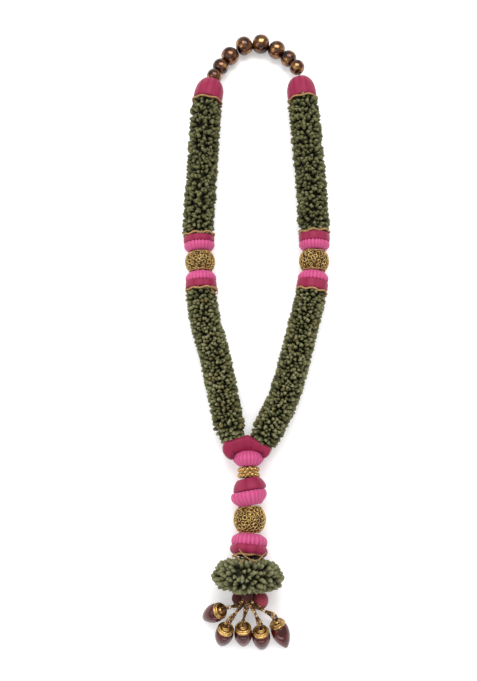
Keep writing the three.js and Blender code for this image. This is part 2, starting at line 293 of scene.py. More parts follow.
def satin(shade, light, dark):
    """Satin ribbon: floats of fine thread that catch the light softly, with painted shade in each pleat's
    valley and a painted highlight on its crest.
    """
    def build(tree):
        pleat_shade = attribute(tree, "pleat_shade")
        # Painted shade and highlight: the pleat value picks the dark colour in a valley and the light colour
        # on a crest.
        pleat_shade_colour = ramp(tree, pleat_shade, [(0.0, dark), (0.45, shade), (1.0, light)])
        worn = mixed(tree, maths(tree, "MULTIPLY", noise(tree, 9.0, 2.0), 0.35), pleat_shade_colour, shade)
        # Real satin has about 40 threads to the centimetre. They are drawn 2 mm apart, eight times as
        # coarse: a wave texture repeats after 0.314 of its unit, which here is 6.3 mm.
        weave = add_node(tree, "ShaderNodeTexWave",
                         {"Vector": object_position(tree), "Scale": 1 / (6.3 * MM),
                          "Distortion": 1.5, "Detail": 1.0}, wave_type="BANDS").outputs["Fac"]
        return {"Base Color": worn, "Roughness": 0.55, "Sheen Weight": 0.12, "Sheen Roughness": 0.4,
                "Specular IOR Level": 0.22, "Normal": bump(tree, weave, 0.05, 0.5)}
    return build


# Each satin's second colour is the painted highlight on its pleat crests, its third the painted shade in the
# valleys.
magenta_satin = surface_material("magenta_satin_ribbon", satin("#85183c", "#982c50", "#500d24"))
pink_satin = surface_material("pink_satin_ribbon", satin("#b53f70", "#c65787", "#94365f"))
print("satin finishes:", magenta_satin.name, pink_satin.name)

# %% [markdown]
# ### Gold and lacquer
# Plated wire and stamped caps are true metal. The neck beads are lacquer over a moulded bead, so a
# clear coat lies over a cloudy brown-gold mirror. Noise stands for worn plate and cloudy lacquer.
# %% Gold finishes


def gold_wire(tree):
    """Antique-gold plate on brass wire, bright and brown in random patches of worn polish."""
    worn = noise(tree, 2.5, 3.0)
    colour = ramp(tree, worn, [(0.3, "#96733f"), (0.5, "#d2ae67"), (0.7, "#f0da9c")])
    return {"Base Color": colour, "Metallic": 1.0, "Roughness": 0.3,
            "Normal": bump(tree, noise(tree, 0.6, 1.0), 0.05, 0.4)}


def painted_shade_lining(tree):
    """The dark inside wall of a filigree shell, painted as the shade in its hollow, seen only through its
    holes.
    """
    # Painted shade: the wall is coloured dark brown for the shadowed hollow.
    colour = ramp(tree, noise(tree, 2.0), [(0.35, "#3a2610"), (0.7, "#5d421c")])
    return {"Base Color": colour, "Metallic": 0.6, "Roughness": 0.6}


def lacquered_bead(tree):
    """Antique-gold lacquer over a moulded bead: a deep brown-gold mirror with cloudy patches."""
    cloud = noise(tree, 11.0, 2.0)
    colour = ramp(tree, cloud, [(0.34, "#1c0804"), (0.46, "#43200f"), (0.58, "#74481f"), (0.74, "#b58c50")])
    return {"Base Color": colour, "Metallic": 0.85, "Roughness": 0.16, "Coat Weight": 0.6,
            "Coat Roughness": 0.05}


def satin_gold(tree):
    """Stamped gold bead caps with a soft polish."""
    colour = ramp(tree, noise(tree, 3.0), [(0.3, "#8c693c"), (0.7, "#c9a566")])
    return {"Base Color": colour, "Metallic": 1.0, "Roughness": 0.27}


def seed_bead_gold(tree):
    """Small antique-gold beads, some nearly brown."""
    colour = ramp(tree, attribute(tree, "bead_tint"),
                  [(0.0, "#3a2413"), (0.5, "#6f5031"), (0.85, "#a8834f"), (1.0, "#d8c29a")])
    return {"Base Color": colour, "Metallic": 0.8, "Roughness": 0.25}


gold = surface_material("antique_gold_filigree", gold_wire)
shade_lining = surface_material("filigree_shade_lining", painted_shade_lining)
bead_lacquer = surface_material("antique_gold_lacquer", lacquered_bead)
cap_gold = surface_material("satin_gold_caps", satin_gold)
seed_gold = surface_material("antique_seed_beads", seed_bead_gold)
print("gold finishes:", *(m.name for m in (gold, shade_lining, bead_lacquer, cap_gold, seed_gold)))

# %% [markdown]
# ### Thread, felt, rope and glass
# Zari glitters in short lengths. Felt and rope are matt, with a bump as fine as their fibres. The
# glass is so dark a red that it needs only a clean, sharp gloss.
# %% Threads, felt and glass


def zari(tree):
    """Zari: silk wound with a flat gilt strip, so it glitters in short lengths."""
    glint = noise(tree, 0.8, 1.0)
    colour = ramp(tree, glint, [(0.3, "#7a5330"), (0.5, "#b58b56"), (0.68, "#dcb98a")])
    return {"Base Color": colour, "Metallic": 0.45, "Roughness": 0.42}


def waxed_thread(tree):
    """Waxed maroon thread."""
    colour = ramp(tree, noise(tree, 1.2), [(0.3, "#35100f"), (0.7, "#5e2320")])
    return {"Base Color": colour, "Roughness": 0.6, "Normal": bump(tree, noise(tree, 0.5), 0.1)}


def wool_felt(tree):
    """Needle-felted wool: a tangle of short fibres with a soft halo."""
    fibres = noise(tree, 0.9, 4.0)
    colour = ramp(tree, fibres, [(0.3, "#6c202c"), (0.55, "#983241"), (0.75, "#ab4857")])
    return {"Base Color": colour, "Roughness": 0.95, "Sheen Weight": 0.2, "Sheen Roughness": 0.5,
            "Normal": bump(tree, fibres, 0.5, 0.8)}


def shaded_felt(tree):
    """The same wool, with painted shade that darkens it nearly to brown."""
    colour = ramp(tree, noise(tree, 0.9, 4.0), [(0.3, "#32110f"), (0.7, "#5c2327")])
    return {"Base Color": colour, "Roughness": 0.95}


def cotton_rope(tree):
    """Cotton rope that the pods are stitched to, coloured near-black as painted shade between the pods."""
    colour = ramp(tree, noise(tree, 1.5, 2.0), [(0.3, "#15160a"), (0.7, "#2b2c16")])
    return {"Base Color": colour, "Roughness": 0.95, "Normal": bump(tree, noise(tree, 0.7), 0.3)}


def maroon_glass(tree):
    """Pressed glass, so deep a red that only its thin edges let light through."""
    colour = ramp(tree, noise(tree, 14.0, 1.0), [(0.35, "#3c0c08"), (0.7, "#5c1712")])
    return {"Base Color": colour, "Roughness": 0.05, "Transmission Weight": 0.1, "IOR": 1.5,
            "Specular IOR Level": 0.38}


zari_thread = surface_material("zari_gold_thread", zari)
maroon_thread = surface_material("waxed_maroon_thread", waxed_thread)
felt = surface_material("maroon_wool_felt", wool_felt)
painted_shade_felt = surface_material("painted_shade_wool_felt", shaded_felt)
painted_shade_rope = surface_material("painted_shade_cotton_rope", cotton_rope)
glass = surface_material("maroon_pressed_glass", maroon_glass)
print(len(bpy.data.materials), "materials")

# %% [markdown]
# ## Where a piece sits
# A seat is the middle of a threaded piece, its three axes and its length. It is read from the CAD
# piece's own mesh and the line that the piece is threaded on.
# %% Seats


def cad_points(node):
    mesh = frame["nodes"][node].data
    points = np.empty(len(mesh.vertices) * 3)
    mesh.vertices.foreach_get("co", points)
    return points.reshape(-1, 3)


def seat_along(node, along):
    """The middle, axes (side, along, up) and length of a CAD piece turned about that direction."""
    points = cad_points(node)
    along = np.array(along, float) / np.linalg.norm(along)
    side = np.cross(along, (0, 0, 1))
    side /= np.linalg.norm(side)
    centre = points.mean(axis=0)
    reach = (points - centre) @ along
    middle = centre + along * (reach.max() + reach.min()) / 2
    return {"middle": middle, "axes": np.array([side, along, np.cross(side, along)]),
            "length": (reach.max() - reach.min()) / MM}


def seat_of(node, line, lean=0.0):
    """The seat of the CAD piece threaded on the line, leaning by so many degrees in the table's plane."""
    middle = cad_points(node).mean(axis=0)
    half = np.linalg.norm(np.ptp(cad_points(node), axis=0)[:2]) / 4
    nearest = int(np.argmin(np.linalg.norm(line - middle, axis=1)))
    reach = np.concatenate([[0], np.cumsum(np.linalg.norm(np.diff(line, axis=0), axis=1))])
    low, high = np.searchsorted(reach, (reach[nearest] - half, reach[nearest] + half))
    along = line[min(high, len(line) - 1)] - line[max(low, 0)]
    return seat_along(node, np.array(Matrix.Rotation(math.radians(lean), 3, "Z")) @ along)


def placed(seat, local):
    """Local (side, along, up) points in millimetres, from the seat's middle, as points of the frame."""
    return seat["middle"] + np.asarray(local, float) * MM @ seat["axes"]


# %% [markdown]
# ## Turned forms
# Beads, barrels, puffs and pads are all turned round a thread. One function builds them from a grid of
# radii and heights, so a pleat is only a radius that changes round the turn. The grid closes on itself
# round the turn and through the bore, and the surface is closed with its normals outwards.
# %% Turned forms


def make_object(name, vertices, faces, material, pleat_shade=None):
    mesh = bpy.data.meshes.new(name)
    mesh.from_pydata([tuple(v) for v in vertices], [], faces)
    mesh.materials.append(material)
    mesh.polygons.foreach_set("use_smooth", [True] * len(mesh.polygons))
    if pleat_shade is not None:
        layer = mesh.attributes.new("pleat_shade", "FLOAT", "POINT")
        layer.data.foreach_set("value", np.asarray(pleat_shade, float).ravel())
    mesh.update()
    thing = bpy.data.objects.new(name, mesh)
    bpy.context.scene.collection.objects.link(thing)
    return thing


def outward(thing):
    """Turns every face outwards."""
    form = bmesh.new()
    form.from_mesh(thing.data)
    bmesh.ops.recalc_face_normals(form, faces=form.faces)
    if form.calc_volume(signed=True) < 0:
        bmesh.ops.reverse_faces(form, faces=form.faces)
    form.to_mesh(thing.data)
    form.free()
    thing.data.update()
    return thing


def turned_form(name, seat, radius, height, material, pleat_shade=None, flatten=1.0):
    """radius and height are grids in millimetres, one row for each step along the outline. The outline
    closes on itself, unless it begins and ends on the axis, where each end is one point."""
    rows, sides = radius.shape
    pointed = radius[0].max() < 1e-6
    angle = np.linspace(0, 2 * np.pi, sides, endpoint=False)
    local = np.stack([radius * np.cos(angle), height, radius * np.sin(angle) * flatten], axis=2)
    faces = []
    if pointed:
        body = local[1:-1].reshape(-1, 3)
        vertices = placed(seat, np.vstack([body, local[0, :1], local[-1, :1]]))
        rows -= 2
        first, last = rows * sides, rows * sides + 1
        for j in range(sides):
            beside = (j + 1) % sides
            faces += [(first, beside, j), (last, (rows - 1) * sides + j, (rows - 1) * sides + beside)]
    else:
        vertices = placed(seat, local.reshape(-1, 3))
    for i in range(rows - 1 if pointed else rows):
        for j in range(sides):
            below, beside = (i + 1) % rows, (j + 1) % sides
            faces.append((i * sides + j, below * sides + j, below * sides + beside, i * sides + beside))
    return outward(make_object(name, vertices, faces, material, pleat_shade))


def outline(points, count, soft=True):
    """A (radius, height) outline, evenly sampled. It closes on itself unless it starts on the axis."""
    p = np.array([(r, h, 0.0) for r, h in points])
    if points[0][0] == 0:
        line = smooth_line(p, 16) if soft else p
        return resampled(line, count)[:, :2]
    if not soft:
        return resampled(np.vstack([p, p[:1]]), count + 1)[:-1, :2]
    line = smooth_line(np.vstack([p[-2:], p, p[:3]]), 16)
    return resampled(line[32:32 + len(p) * 16 + 1], count + 1)[:-1, :2]


def spun(profile, sides):
    """The radius and height grids of a plain turned outline."""
    return (np.repeat(profile[:, :1], sides, axis=1), np.repeat(profile[:, 1:], sides, axis=1))


def pieces_of(thing, nodes):
    """Fixes a finished piece to the garland in place of its CAD nodes."""
    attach(thing, "root")
    if nodes:
        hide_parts(*nodes)
    triangles = sum(len(face.vertices) - 2 for face in thing.data.polygons)
    print(f"{thing.name}: {triangles} triangles")
    return thing


# %% [markdown]
# ## Geometry Nodes helpers
# Pods, beads, twisted cords and filigree loops all repeat along a line or over a surface, so each has a
# tree of Geometry Nodes. A finished tree is baked to a plain mesh at once.
# %% Geometry Nodes helpers


def geometry_tree(name, *sockets):
    tree = bpy.data.node_groups.new(name, "GeometryNodeTree")
    face = tree.interface
    face.new_socket("Geometry", in_out="INPUT", socket_type="NodeSocketGeometry")
    for label, kind in [*sockets, ("Material", "Material")]:
        face.new_socket(label, in_out="INPUT", socket_type="NodeSocket" + kind)
    face.new_socket("Geometry", in_out="OUTPUT", socket_type="NodeSocketGeometry")
    return tree, add_node(tree, "NodeGroupInput").outputs


def close_tree(tree, given, geometry):
    """Ends a tree: instances made real, one material, smooth faces."""
    whole = add_node(tree, "GeometryNodeRealizeInstances", {"Geometry": geometry}).outputs[0]
    smooth = add_node(tree, "GeometryNodeSetShadeSmooth", {"Geometry": whole}).outputs[0]
    dressed = add_node(tree, "GeometryNodeSetMaterial", {"Geometry": smooth, "Material": given["Material"]})
    add_node(tree, "NodeGroupOutput", {"Geometry": dressed.outputs[0]})


def grown(name, base, tree, values):
    """Runs the tree on a base object and returns the result as a plain mesh object."""
    modifier = base.modifiers.new("grown", "NODES")
    modifier.node_group = tree
    sockets = {s.name: s.identifier for s in tree.interface.items_tree
               if s.item_type == "SOCKET" and s.in_out == "INPUT"}
    for label, value in values.items():
        modifier[sockets[label]] = value
    bpy.context.view_layer.update()
    evaluated = base.evaluated_get(bpy.context.evaluated_depsgraph_get())
    mesh = bpy.data.meshes.new_from_object(evaluated)
    bpy.data.objects.remove(base)
    mesh.name = name
    thing = bpy.data.objects.new(name, mesh)
    bpy.context.scene.collection.objects.link(thing)
    return thing


def line_object(line, closed=False, **layers):
    """A line of the frame as a mesh of edges, carrying a number for each point in every named layer."""
    count = len(line)
    edges = [(i, (i + 1) % count) for i in range(count if closed else count - 1)]
    mesh = bpy.data.meshes.new("line")
    mesh.from_pydata([tuple(p) for p in line], edges, [])
    for label, values in layers.items():
        mesh.attributes.new(label, "FLOAT", "POINT").data.foreach_set("value", values)
    base = bpy.data.objects.new("line", mesh)
    bpy.context.scene.collection.objects.link(base)
    return base


def vector_maths(tree, operation, *values, output="Vector"):
    node = add_node(tree, "ShaderNodeVectorMath", operation=operation)
    for index, value in enumerate(values):
        name = "Scale" if operation == "SCALE" and index == 1 else index
        if isinstance(value, bpy.types.NodeSocket):
            tree.links.new(value, node.inputs[name])
        else:
            node.inputs[name].default_value = value
    return node.outputs[output]


def random_number(tree, low, high, seed):
    return add_node(tree, "FunctionNodeRandomValue", {2: low, 3: high, "Seed": seed}).outputs[1]


def random_vector(tree, low, high, seed):
    return add_node(tree, "FunctionNodeRandomValue", {0: low, 1: high, "Seed": seed},
                    data_type="FLOAT_VECTOR").outputs[0]


def stored(tree, geometry, name, value, kind="FLOAT", domain="POINT"):
    return add_node(tree, "GeometryNodeStoreNamedAttribute",
                    {"Geometry": geometry, "Name": name, "Value": value},
                    data_type=kind, domain=domain).outputs[0]


def recalled(tree, name, kind="FLOAT"):
    return add_node(tree, "GeometryNodeInputNamedAttribute", {"Name": name}, data_type=kind).outputs[0]


def facing(tree, direction, spin):
    """A rotation that points local Z along the direction and spins about it."""
    aimed = add_node(tree, "FunctionNodeAlignRotationToVector", {"Vector": direction}, axis="Z")
    turn = add_node(tree, "FunctionNodeEulerToRotation", {0: spin}).outputs[0]
    return add_node(tree, "FunctionNodeRotateRotation", {"Rotation": aimed.outputs[0], "Rotate By": turn},
                    rotation_space="LOCAL").outputs[0]


# %% [markdown]
# ## A cardamom pod
# A dried pod is a papery three-cornered capsule about 12 mm long, blunt at the stalk and drawn to a short
# beak. It is repeated thousands of times, so it has six sides and four rings: a few dozen faces.
# %% The pod
POD_LENGTH = 12.5
POD_GIRTH = 3.3
POD_SIDES = 6
POD_FLAT = 0.66    # the middle of a flat side, against the corners beside it
POD_BEAK = 0.25    # how far the beak leans off the pod's axis
# Each ring's place along the pod and its width, as shares of the length and the girth.
POD_RINGS = [(0.10, 0.42), (0.40, 0.90), (0.70, 1.0), (0.91, 0.60)]


def make_pod():
    vertices, faces, places = [(0, 0, 0)], [], [(0, 0, 0)]
    for share, girth in POD_RINGS:
        for k in range(POD_SIDES):
            reach = POD_GIRTH * girth * (1.0 if k % 2 == 0 else POD_FLAT) * MM
            turn = k * math.tau / POD_SIDES
            vertices.append((math.cos(turn) * reach, math.sin(turn) * reach, share * POD_LENGTH * MM))
            places.append((k % 2, share, 0))
    vertices.append((POD_BEAK * MM, 0, POD_LENGTH * MM))
    places.append((0.5, 1, 0))
    tip = len(vertices) - 1
    for k in range(POD_SIDES):
        beside = (k + 1) % POD_SIDES
        faces.append((0, 1 + beside, 1 + k))
        for ring in range(len(POD_RINGS) - 1):
            low = 1 + ring * POD_SIDES
            high = low + POD_SIDES
            faces.append((low + k, low + beside, high + beside, high + k))
        faces.append((tip - POD_SIDES + k, tip - POD_SIDES + beside, tip))
    pod = make_object("pod", vertices, faces, husk)
    pod.data.attributes.new("pod_uv", "FLOAT_VECTOR", "POINT").data.foreach_set(
        "vector", np.array(places, float).ravel())
    return pod


pod = make_pod()
print("a pod has", sum(len(f.vertices) - 2 for f in pod.data.polygons), "triangles")

# %% [markdown]
# ## Stitching pods round a rope
# The garland maker sews the pods on in rings, each ring turned by half a pod against the last, tips
# outwards. The tree resamples the rope's line to one point a ring, tilts every other point by half a pod,
# sweeps a circle along it and stands a pod on each point of the sweep.
# %% Pods round a rope


def pods_tree():
    tree, given = geometry_tree(
        "stitched_pods", ("Rings", "Int"), ("Pods a ring", "Int"), ("Root radius", "Float"),
        ("Wildness", "Float"), ("Palest", "Float"), ("Pod", "Object"), ("Seed", "Int"))
    rope = add_node(tree, "GeometryNodeMeshToCurve", {0: given["Geometry"]}).outputs[0]
    rings = add_node(tree, "GeometryNodeResampleCurve", {"Curve": rope, "Count": given["Rings"]}).outputs[0]
    place = add_node(tree, "GeometryNodeInputPosition").outputs[0]
    tangent = add_node(tree, "GeometryNodeInputTangent").outputs[0]
    rings = stored(tree, rings, "core", place, "FLOAT_VECTOR")
    rings = stored(tree, rings, "lengthwise", tangent, "FLOAT_VECTOR")
    index = add_node(tree, "GeometryNodeInputIndex").outputs[0]
    odd = maths(tree, "MODULO", index, 2.0)
    half_pod = maths(tree, "DIVIDE", math.pi, given["Pods a ring"])
    tilt = maths(tree, "ADD", maths(tree, "MULTIPLY", odd, half_pod),
                 random_number(tree, -0.06, 0.06, given["Seed"]))
    rings = add_node(tree, "GeometryNodeSetCurveTilt", {"Curve": rings, "Tilt": tilt}).outputs[0]
    circle = add_node(tree, "GeometryNodeCurvePrimitiveCircle",
                      {"Resolution": given["Pods a ring"], "Radius": given["Root radius"]}).outputs[0]
    sweep = add_node(tree, "GeometryNodeCurveToMesh", {"Curve": rings, "Profile Curve": circle}).outputs[0]
    roots = add_node(tree, "GeometryNodeMeshToPoints", {0: sweep}).outputs[0]
    core = recalled(tree, "core", "FLOAT_VECTOR")
    outwards = vector_maths(tree, "NORMALIZE", vector_maths(tree, "SUBTRACT", place, core))
    radius = maths(tree, "MULTIPLY", given["Root radius"], recalled(tree, "taper"))
    root = vector_maths(tree, "ADD", core, vector_maths(tree, "SCALE", outwards, radius))
    roots = add_node(tree, "GeometryNodeSetPosition", {"Geometry": roots, "Position": root}).outputs[0]
    splay = vector_maths(tree, "SCALE", recalled(tree, "lengthwise", "FLOAT_VECTOR"),
                         recalled(tree, "splay"))
    stray = vector_maths(tree, "SCALE", random_vector(tree, (-1, -1, -1), (1, 1, 1), given["Seed"]),
                         given["Wildness"])
    direction = vector_maths(tree, "ADD", vector_maths(tree, "ADD", outwards, splay), stray)
    spin = random_vector(tree, (0, 0, 0), (0, 0, math.tau), given["Seed"])
    one_pod = add_node(tree, "GeometryNodeObjectInfo", {"Object": given["Pod"]}).outputs["Geometry"]
    size = random_number(tree, 0.86, 1.08, given["Seed"])
    pods = add_node(tree, "GeometryNodeInstanceOnPoints",
                    {"Points": roots, "Instance": one_pod, "Rotation": facing(tree, direction, spin),
                     "Scale": size}).outputs[0]
    pods = stored(tree, pods, "pod_tint", random_number(tree, 0.0, given["Palest"], given["Seed"]),
                  "FLOAT", "INSTANCE")
    close_tree(tree, given, pods)
    return tree


def part_of_line(line, low, high):
    """The part of a line between two heights up the table, in metres of the frame."""
    heights = line[:, 1]
    ends = [np.array([np.interp(y, heights, line[:, k]) for k in range(3)]) for y in (low, high)]
    inside = line[(heights > low) & (heights < high)]
    return np.vstack([ends[0], inside, ends[1]])


RING_PITCH = 5.0
PODS_A_RING = 25
LINE_POINTS = 120
END_INSET = 2.0                        # the end rings stand this far inside the tube's ends
COLLAR_DEPTH = 8.0                     # how much of a lower tube the collar hides
BOTTOM_SPREAD, TOP_SPREAD = 16, 10     # how far from each end the pods lean outwards
TOP_SPLAY, TOP_TAPER = 0.45, 0.06
SIDE_SEEDS = {"left": 4, "right": 5}
# The part of a leg, its pods' wildness, palest tint and root radius, the splay and the taper of its
# bottom end, and its seed.
STITCHING = (("lower", 0.28, 1.0, 12.0, 0.9, 0.25, 3), ("upper", 0.62, 0.72, 13.2, 0.45, 0.0, 5))
stitched_pods = pods_tree()
legs = {"left": left_leg, "right": right_leg}
for side, leg in legs.items():
    for part, wildness, palest, root, bottom_splay, bottom_taper, seed in STITCHING:
        node = f"{side}_{part}_cardamom_tube"
        low, high = (corner[1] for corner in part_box(node))
        if part == "lower":
            low += COLLAR_DEPTH * MM
        rope_line = part_of_line(leg, low + END_INSET * MM, high - END_INSET * MM)
        rope_line = resampled(rope_line, LINE_POINTS)
        long = length_of(rope_line) / MM
        rings = round(long / RING_PITCH) + 1
        share = np.linspace(0, 1, LINE_POINTS)
        bottom = np.clip(1 - share * long / BOTTOM_SPREAD, 0, 1)
        top = np.clip(1 - (1 - share) * long / TOP_SPREAD, 0, 1)
        base = line_object(rope_line, taper=1 - bottom_taper * bottom - TOP_TAPER * top,
                           splay=TOP_SPLAY * top - bottom_splay * bottom)
        tube = grown(node + "_pods", base, stitched_pods,
                     {"Rings": rings, "Pods a ring": PODS_A_RING, "Root radius": root * MM,
                      "Wildness": wildness, "Palest": palest, "Pod": pod,
                      "Seed": seed + SIDE_SEEDS[side], "Material": husk})
        pieces_of(tube, [node])
        print(f"  {rings} rings, {rings * PODS_A_RING} pods, {long:.0f} mm")

# %% [markdown]
# ## Core ropes
# Under the pods is a padded cotton rope, coloured near-black as painted shade, seen only as darkness between
# them.
# %% Core ropes


def tube_along(name, line, radius_mm, sides, material):
    """A plain closed tube along a line."""
    steps = np.gradient(line, axis=0)
    steps /= np.linalg.norm(steps, axis=1)[:, None]
    side = np.cross(steps, (0, 0, 1))
    side /= np.linalg.norm(side, axis=1)[:, None]
    up = np.cross(side, steps)
    angle = np.linspace(0, 2 * np.pi, sides, endpoint=False)
    ring = side[:, None] * np.cos(angle)[None, :, None] + up[:, None] * np.sin(angle)[None, :, None]
    vertices = (line[:, None] + ring * radius_mm * MM).reshape(-1, 3)
    count = len(line)
    faces = [(i * sides + j, (i + 1) * sides + j,
              (i + 1) * sides + (j + 1) % sides, i * sides + (j + 1) % sides)
             for i in range(count - 1) for j in range(sides)]
    faces += [tuple(range(sides)), tuple((count - 1) * sides + j for j in range(sides))]
    return outward(make_object(name, vertices, faces, material))


CORE_RADIUS, CORE_INSET = 11.0, 4.0
for side, leg in legs.items():
    node = f"{side}_core_rope"
    low, high = (corner[1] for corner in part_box(node))
    low, high = max(low, leg[0, 1]) + CORE_INSET * MM, min(high, leg[-1, 1]) - CORE_INSET * MM
    rope_line = resampled(part_of_line(leg, low, high), 90)
    pieces_of(tube_along(node + "_cotton", rope_line, CORE_RADIUS, 24, painted_shade_rope), [node])

# %% [markdown]
# ## Neck beads
# Moulded beads with a deep antique-gold lacquer, a little wider than they are long, in graduated sizes.
# %% Neck beads
BEAD_RADIUS, BEAD_HALF_LENGTH, BEAD_BORE = 15.0, 13.1, 1.9
BEAD_SIZES = (0.82, 0.88, 0.98, 1.0, 1.03, 0.98, 0.88, 0.82)
BEAD_FULLNESS = 0.85    # below 1 the bead is fuller than a ball
arc = np.linspace(-0.5 * np.pi, 0.5 * np.pi, 25)[1:-1]
for number, size in enumerate(BEAD_SIZES, 1):
    node = f"neck_bead_{number}"
    seat = seat_of(node, neck)
    shell = [(BEAD_BORE + (BEAD_RADIUS * size - BEAD_BORE) * math.cos(a) ** BEAD_FULLNESS,
              BEAD_HALF_LENGTH * size * math.sin(a)) for a in arc]
    drilled = [(BEAD_BORE, BEAD_HALF_LENGTH * size * 0.9), (BEAD_BORE, -BEAD_HALF_LENGTH * size * 0.9)]
    bead = turned_form(node + "_lacquered", seat, *spun(outline([*shell, *drilled], 44), 40), bead_lacquer)
    pieces_of(bead, [node])

# %% [markdown]
# ## Satin pieces
# Each satin piece is a strip of ribbon gathered on the thread at its narrow end and puffed out. Its
# outline is turned, every pleat is a round crest between sharp valleys, and the free edge is scalloped.
# %% Satin pieces
rng = np.random.default_rng(11)


def pleat_waves(sides, pleats, wander=0.3):
    """Pleats round the turn: 0 in a valley, 1 on a crest, no two of the same width."""
    angle = np.linspace(0, 2 * np.pi, sides, endpoint=False)
    drift = sum(rng.uniform(0.4, 1) * np.sin(k * angle + rng.uniform(0, 6.28)) for k in (2, 3, 5, 7)) / 2
    return np.abs(np.cos((pleats * angle + wander * drift * 3) / 2)) ** 0.7


def satin_form(name, seat, ends, pleats, depth, material, scallop, sides=132, rows=44, bore=9.6, dent=1.0):
    """ends is the (share of the length, radius, pleat strength) outline of the outside."""
    half = seat["length"] / 2
    outer = [(r, (s - 0.5) * 2 * half) for s, r, _ in ends]
    inner = [(bore, half - dent), (bore, dent - half)]
    profile = outline([*outer, *inner], rows)
    radius, height = spun(profile, sides)
    share = (profile[:, 1] / half + 1) / 2
    strength = np.interp(share, [s for s, _, _ in ends], [w for _, _, w in ends])
    outside = np.clip((profile[:, 0] - bore - 1) / 6, 0, 1)
    waves = pleat_waves(sides, pleats)
    weight = (strength * outside)[:, None]
    soft = sum(np.sin(k * np.linspace(0, 2 * np.pi, sides, endpoint=False) + rng.uniform(0, 6.28)) / k
               for k in (2, 3, 4)) * 0.010
    radius = radius * (1 - depth * weight * (1 - waves) + soft * outside[:, None])
    near_start = np.clip(1 - share / 0.35, 0, 1) * outside
    near_end = np.clip((share - 0.65) / 0.35, 0, 1) * outside
    height = height + (near_end[:, None] * scallop[1] - near_start[:, None] * scallop[0]) * (waves - 0.4)
    # Painted shade: this pleat value is low in a valley and high on a crest, and the satin colours it dark
    # and light.
    pleat_shade = 0.5 + (waves - 0.45) * np.clip(weight, 0, 1)
    return turned_form(name, seat, radius, height, material, pleat_shade)


CAP_OUTLINE = [(-0.12, 20.8, 0.3), (0.02, 22.5, 0.3), (0.35, 22.6, 0.4), (0.62, 21.2, 0.6),
               (0.85, 18.0, 0.8), (0.96, 15.2, 0.8), (1.0, 13.2, 0.8)]
PUFF_OUTLINE = [(-0.05, 21.0, 0.5), (0.05, 22.8, 0.6), (0.4, 23.2, 0.8), (0.72, 20.8, 1.0),
                (0.98, 17.4, 1.0), (1.06, 15.0, 1.0)]
BAND_OUTLINE = [(-0.1, 21.6, 0.3), (0.02, 23.0, 0.4), (0.5, 23.6, 0.4), (1.15, 23.2, 0.4),
                (1.36, 20.6, 0.3)]


def flipped(ends):
    return [(1 - s, r, w) for s, r, w in reversed(ends)]


for side, leg in legs.items():
    for kind, ends, pleats, depth, cloth, scallop in (
            ("top_cap", CAP_OUTLINE, 13, 0.02, magenta_satin, (0, 0)),
            ("upper_magenta_band", BAND_OUTLINE, 11, 0.015, magenta_satin, (0, 0)),
            ("upper_pink_puff", flipped(PUFF_OUTLINE), 25, 0.055, pink_satin, (0, 2.2)),
            ("lower_pink_puff", PUFF_OUTLINE, 25, 0.055, pink_satin, (2.2, 0)),
            ("lower_magenta_band", flipped(BAND_OUTLINE), 11, 0.015, magenta_satin, (0, 0))):
        node = f"{side}_{kind}"
        made = satin_form(node + "_satin", seat_of(node, leg), ends, pleats, depth, cloth, scallop)
        pieces_of(made, [node])

# %% [markdown]
# ## Pendant pads
# The same ribbon, gathered tighter. The two upper pads lean, because the ball below pulls to one side.
# %% Pendant pads
PENDANT_PADS = {
    "pendant_pink_puff": ([(-0.34, 10.0, 0.5), (-0.2, 16.5, 0.7), (0.06, 21.2, 0.8), (0.42, 23.0, 0.9),
                           (0.75, 19.6, 1.0), (0.98, 15.6, 1.0), (1.06, 13.0, 1)], 24, 0.07, pink_satin,
                          (1.0, 0), 0),
    "upper_magenta_pad": ([(-0.2, 14.5, 0.5), (-0.1, 17.2, 0.5), (0.3, 21.6, 0.5), (0.68, 23.8, 0.5),
                           (0.96, 24.0, 0.4), (1.06, 22.0, 0.4)], 7, 0.015, magenta_satin, (0, 0), 10),
    "upper_pink_pad": ([(-0.06, 22.5, 0.4), (0.05, 25.0, 0.6), (0.38, 26.3, 0.7), (0.7, 23.8, 1.0),
                        (0.96, 19.0, 1.0), (1.14, 15.5, 1)], 25, 0.055, pink_satin, (0.8, 0), 10),
    "lower_pink_pad": ([(-0.06, 15.0, 1), (0.03, 18.2, 1.0), (0.35, 24.4, 0.9), (0.75, 26.0, 0.8),
                        (1.04, 24.2, 0.6), (1.1, 22.0, 0.6)], 25, 0.06, pink_satin, (0, 3.4), -2),
    "lower_magenta_pad": ([(-0.08, 22, 0.4), (0.06, 25.2, 0.5), (0.5, 27.4, 0.5), (0.9, 25.6, 0.7),
                           (1.14, 20.5, 0.8)], 11, 0.04, magenta_satin, (0, 0), -2),
}
for node, (ends, pleats, depth, cloth, scallop, lean) in PENDANT_PADS.items():
    made = satin_form(node + "_satin", seat_of(node, pendant, lean), ends, pleats, depth, cloth, scallop)
    pieces_of(made, [node])

# %% [markdown]
# ## Collar
# A satin cushion is tied over the ends of both tubes. It starts as the CAD solid, is meshed evenly and
# smoothed, and then takes soft gathers that run down to the thread.
# %% Collar
GATHER_PLACE = (-12.8, -178, 23)
COLLAR_MIDDLE = (-14, -166, LEG_HEIGHT)
PINCH, TUCK = 0.07, 0.45
TUCK_WIDTH, TUCK_LENGTH = 19, 11


def modified(thing, *steps):
    """Applies a list of (kind, settings) modifiers and returns the object with a plain mesh."""
    for kind, settings in steps:
        modifier = thing.modifiers.new(kind.lower(), kind)
        for name, value in settings.items():
            setattr(modifier, name, value)
    bpy.context.view_layer.update()
    mesh = bpy.data.meshes.new_from_object(thing.evaluated_get(bpy.context.evaluated_depsgraph_get()))
    thing.modifiers.clear()
    thing.data = mesh
    return thing


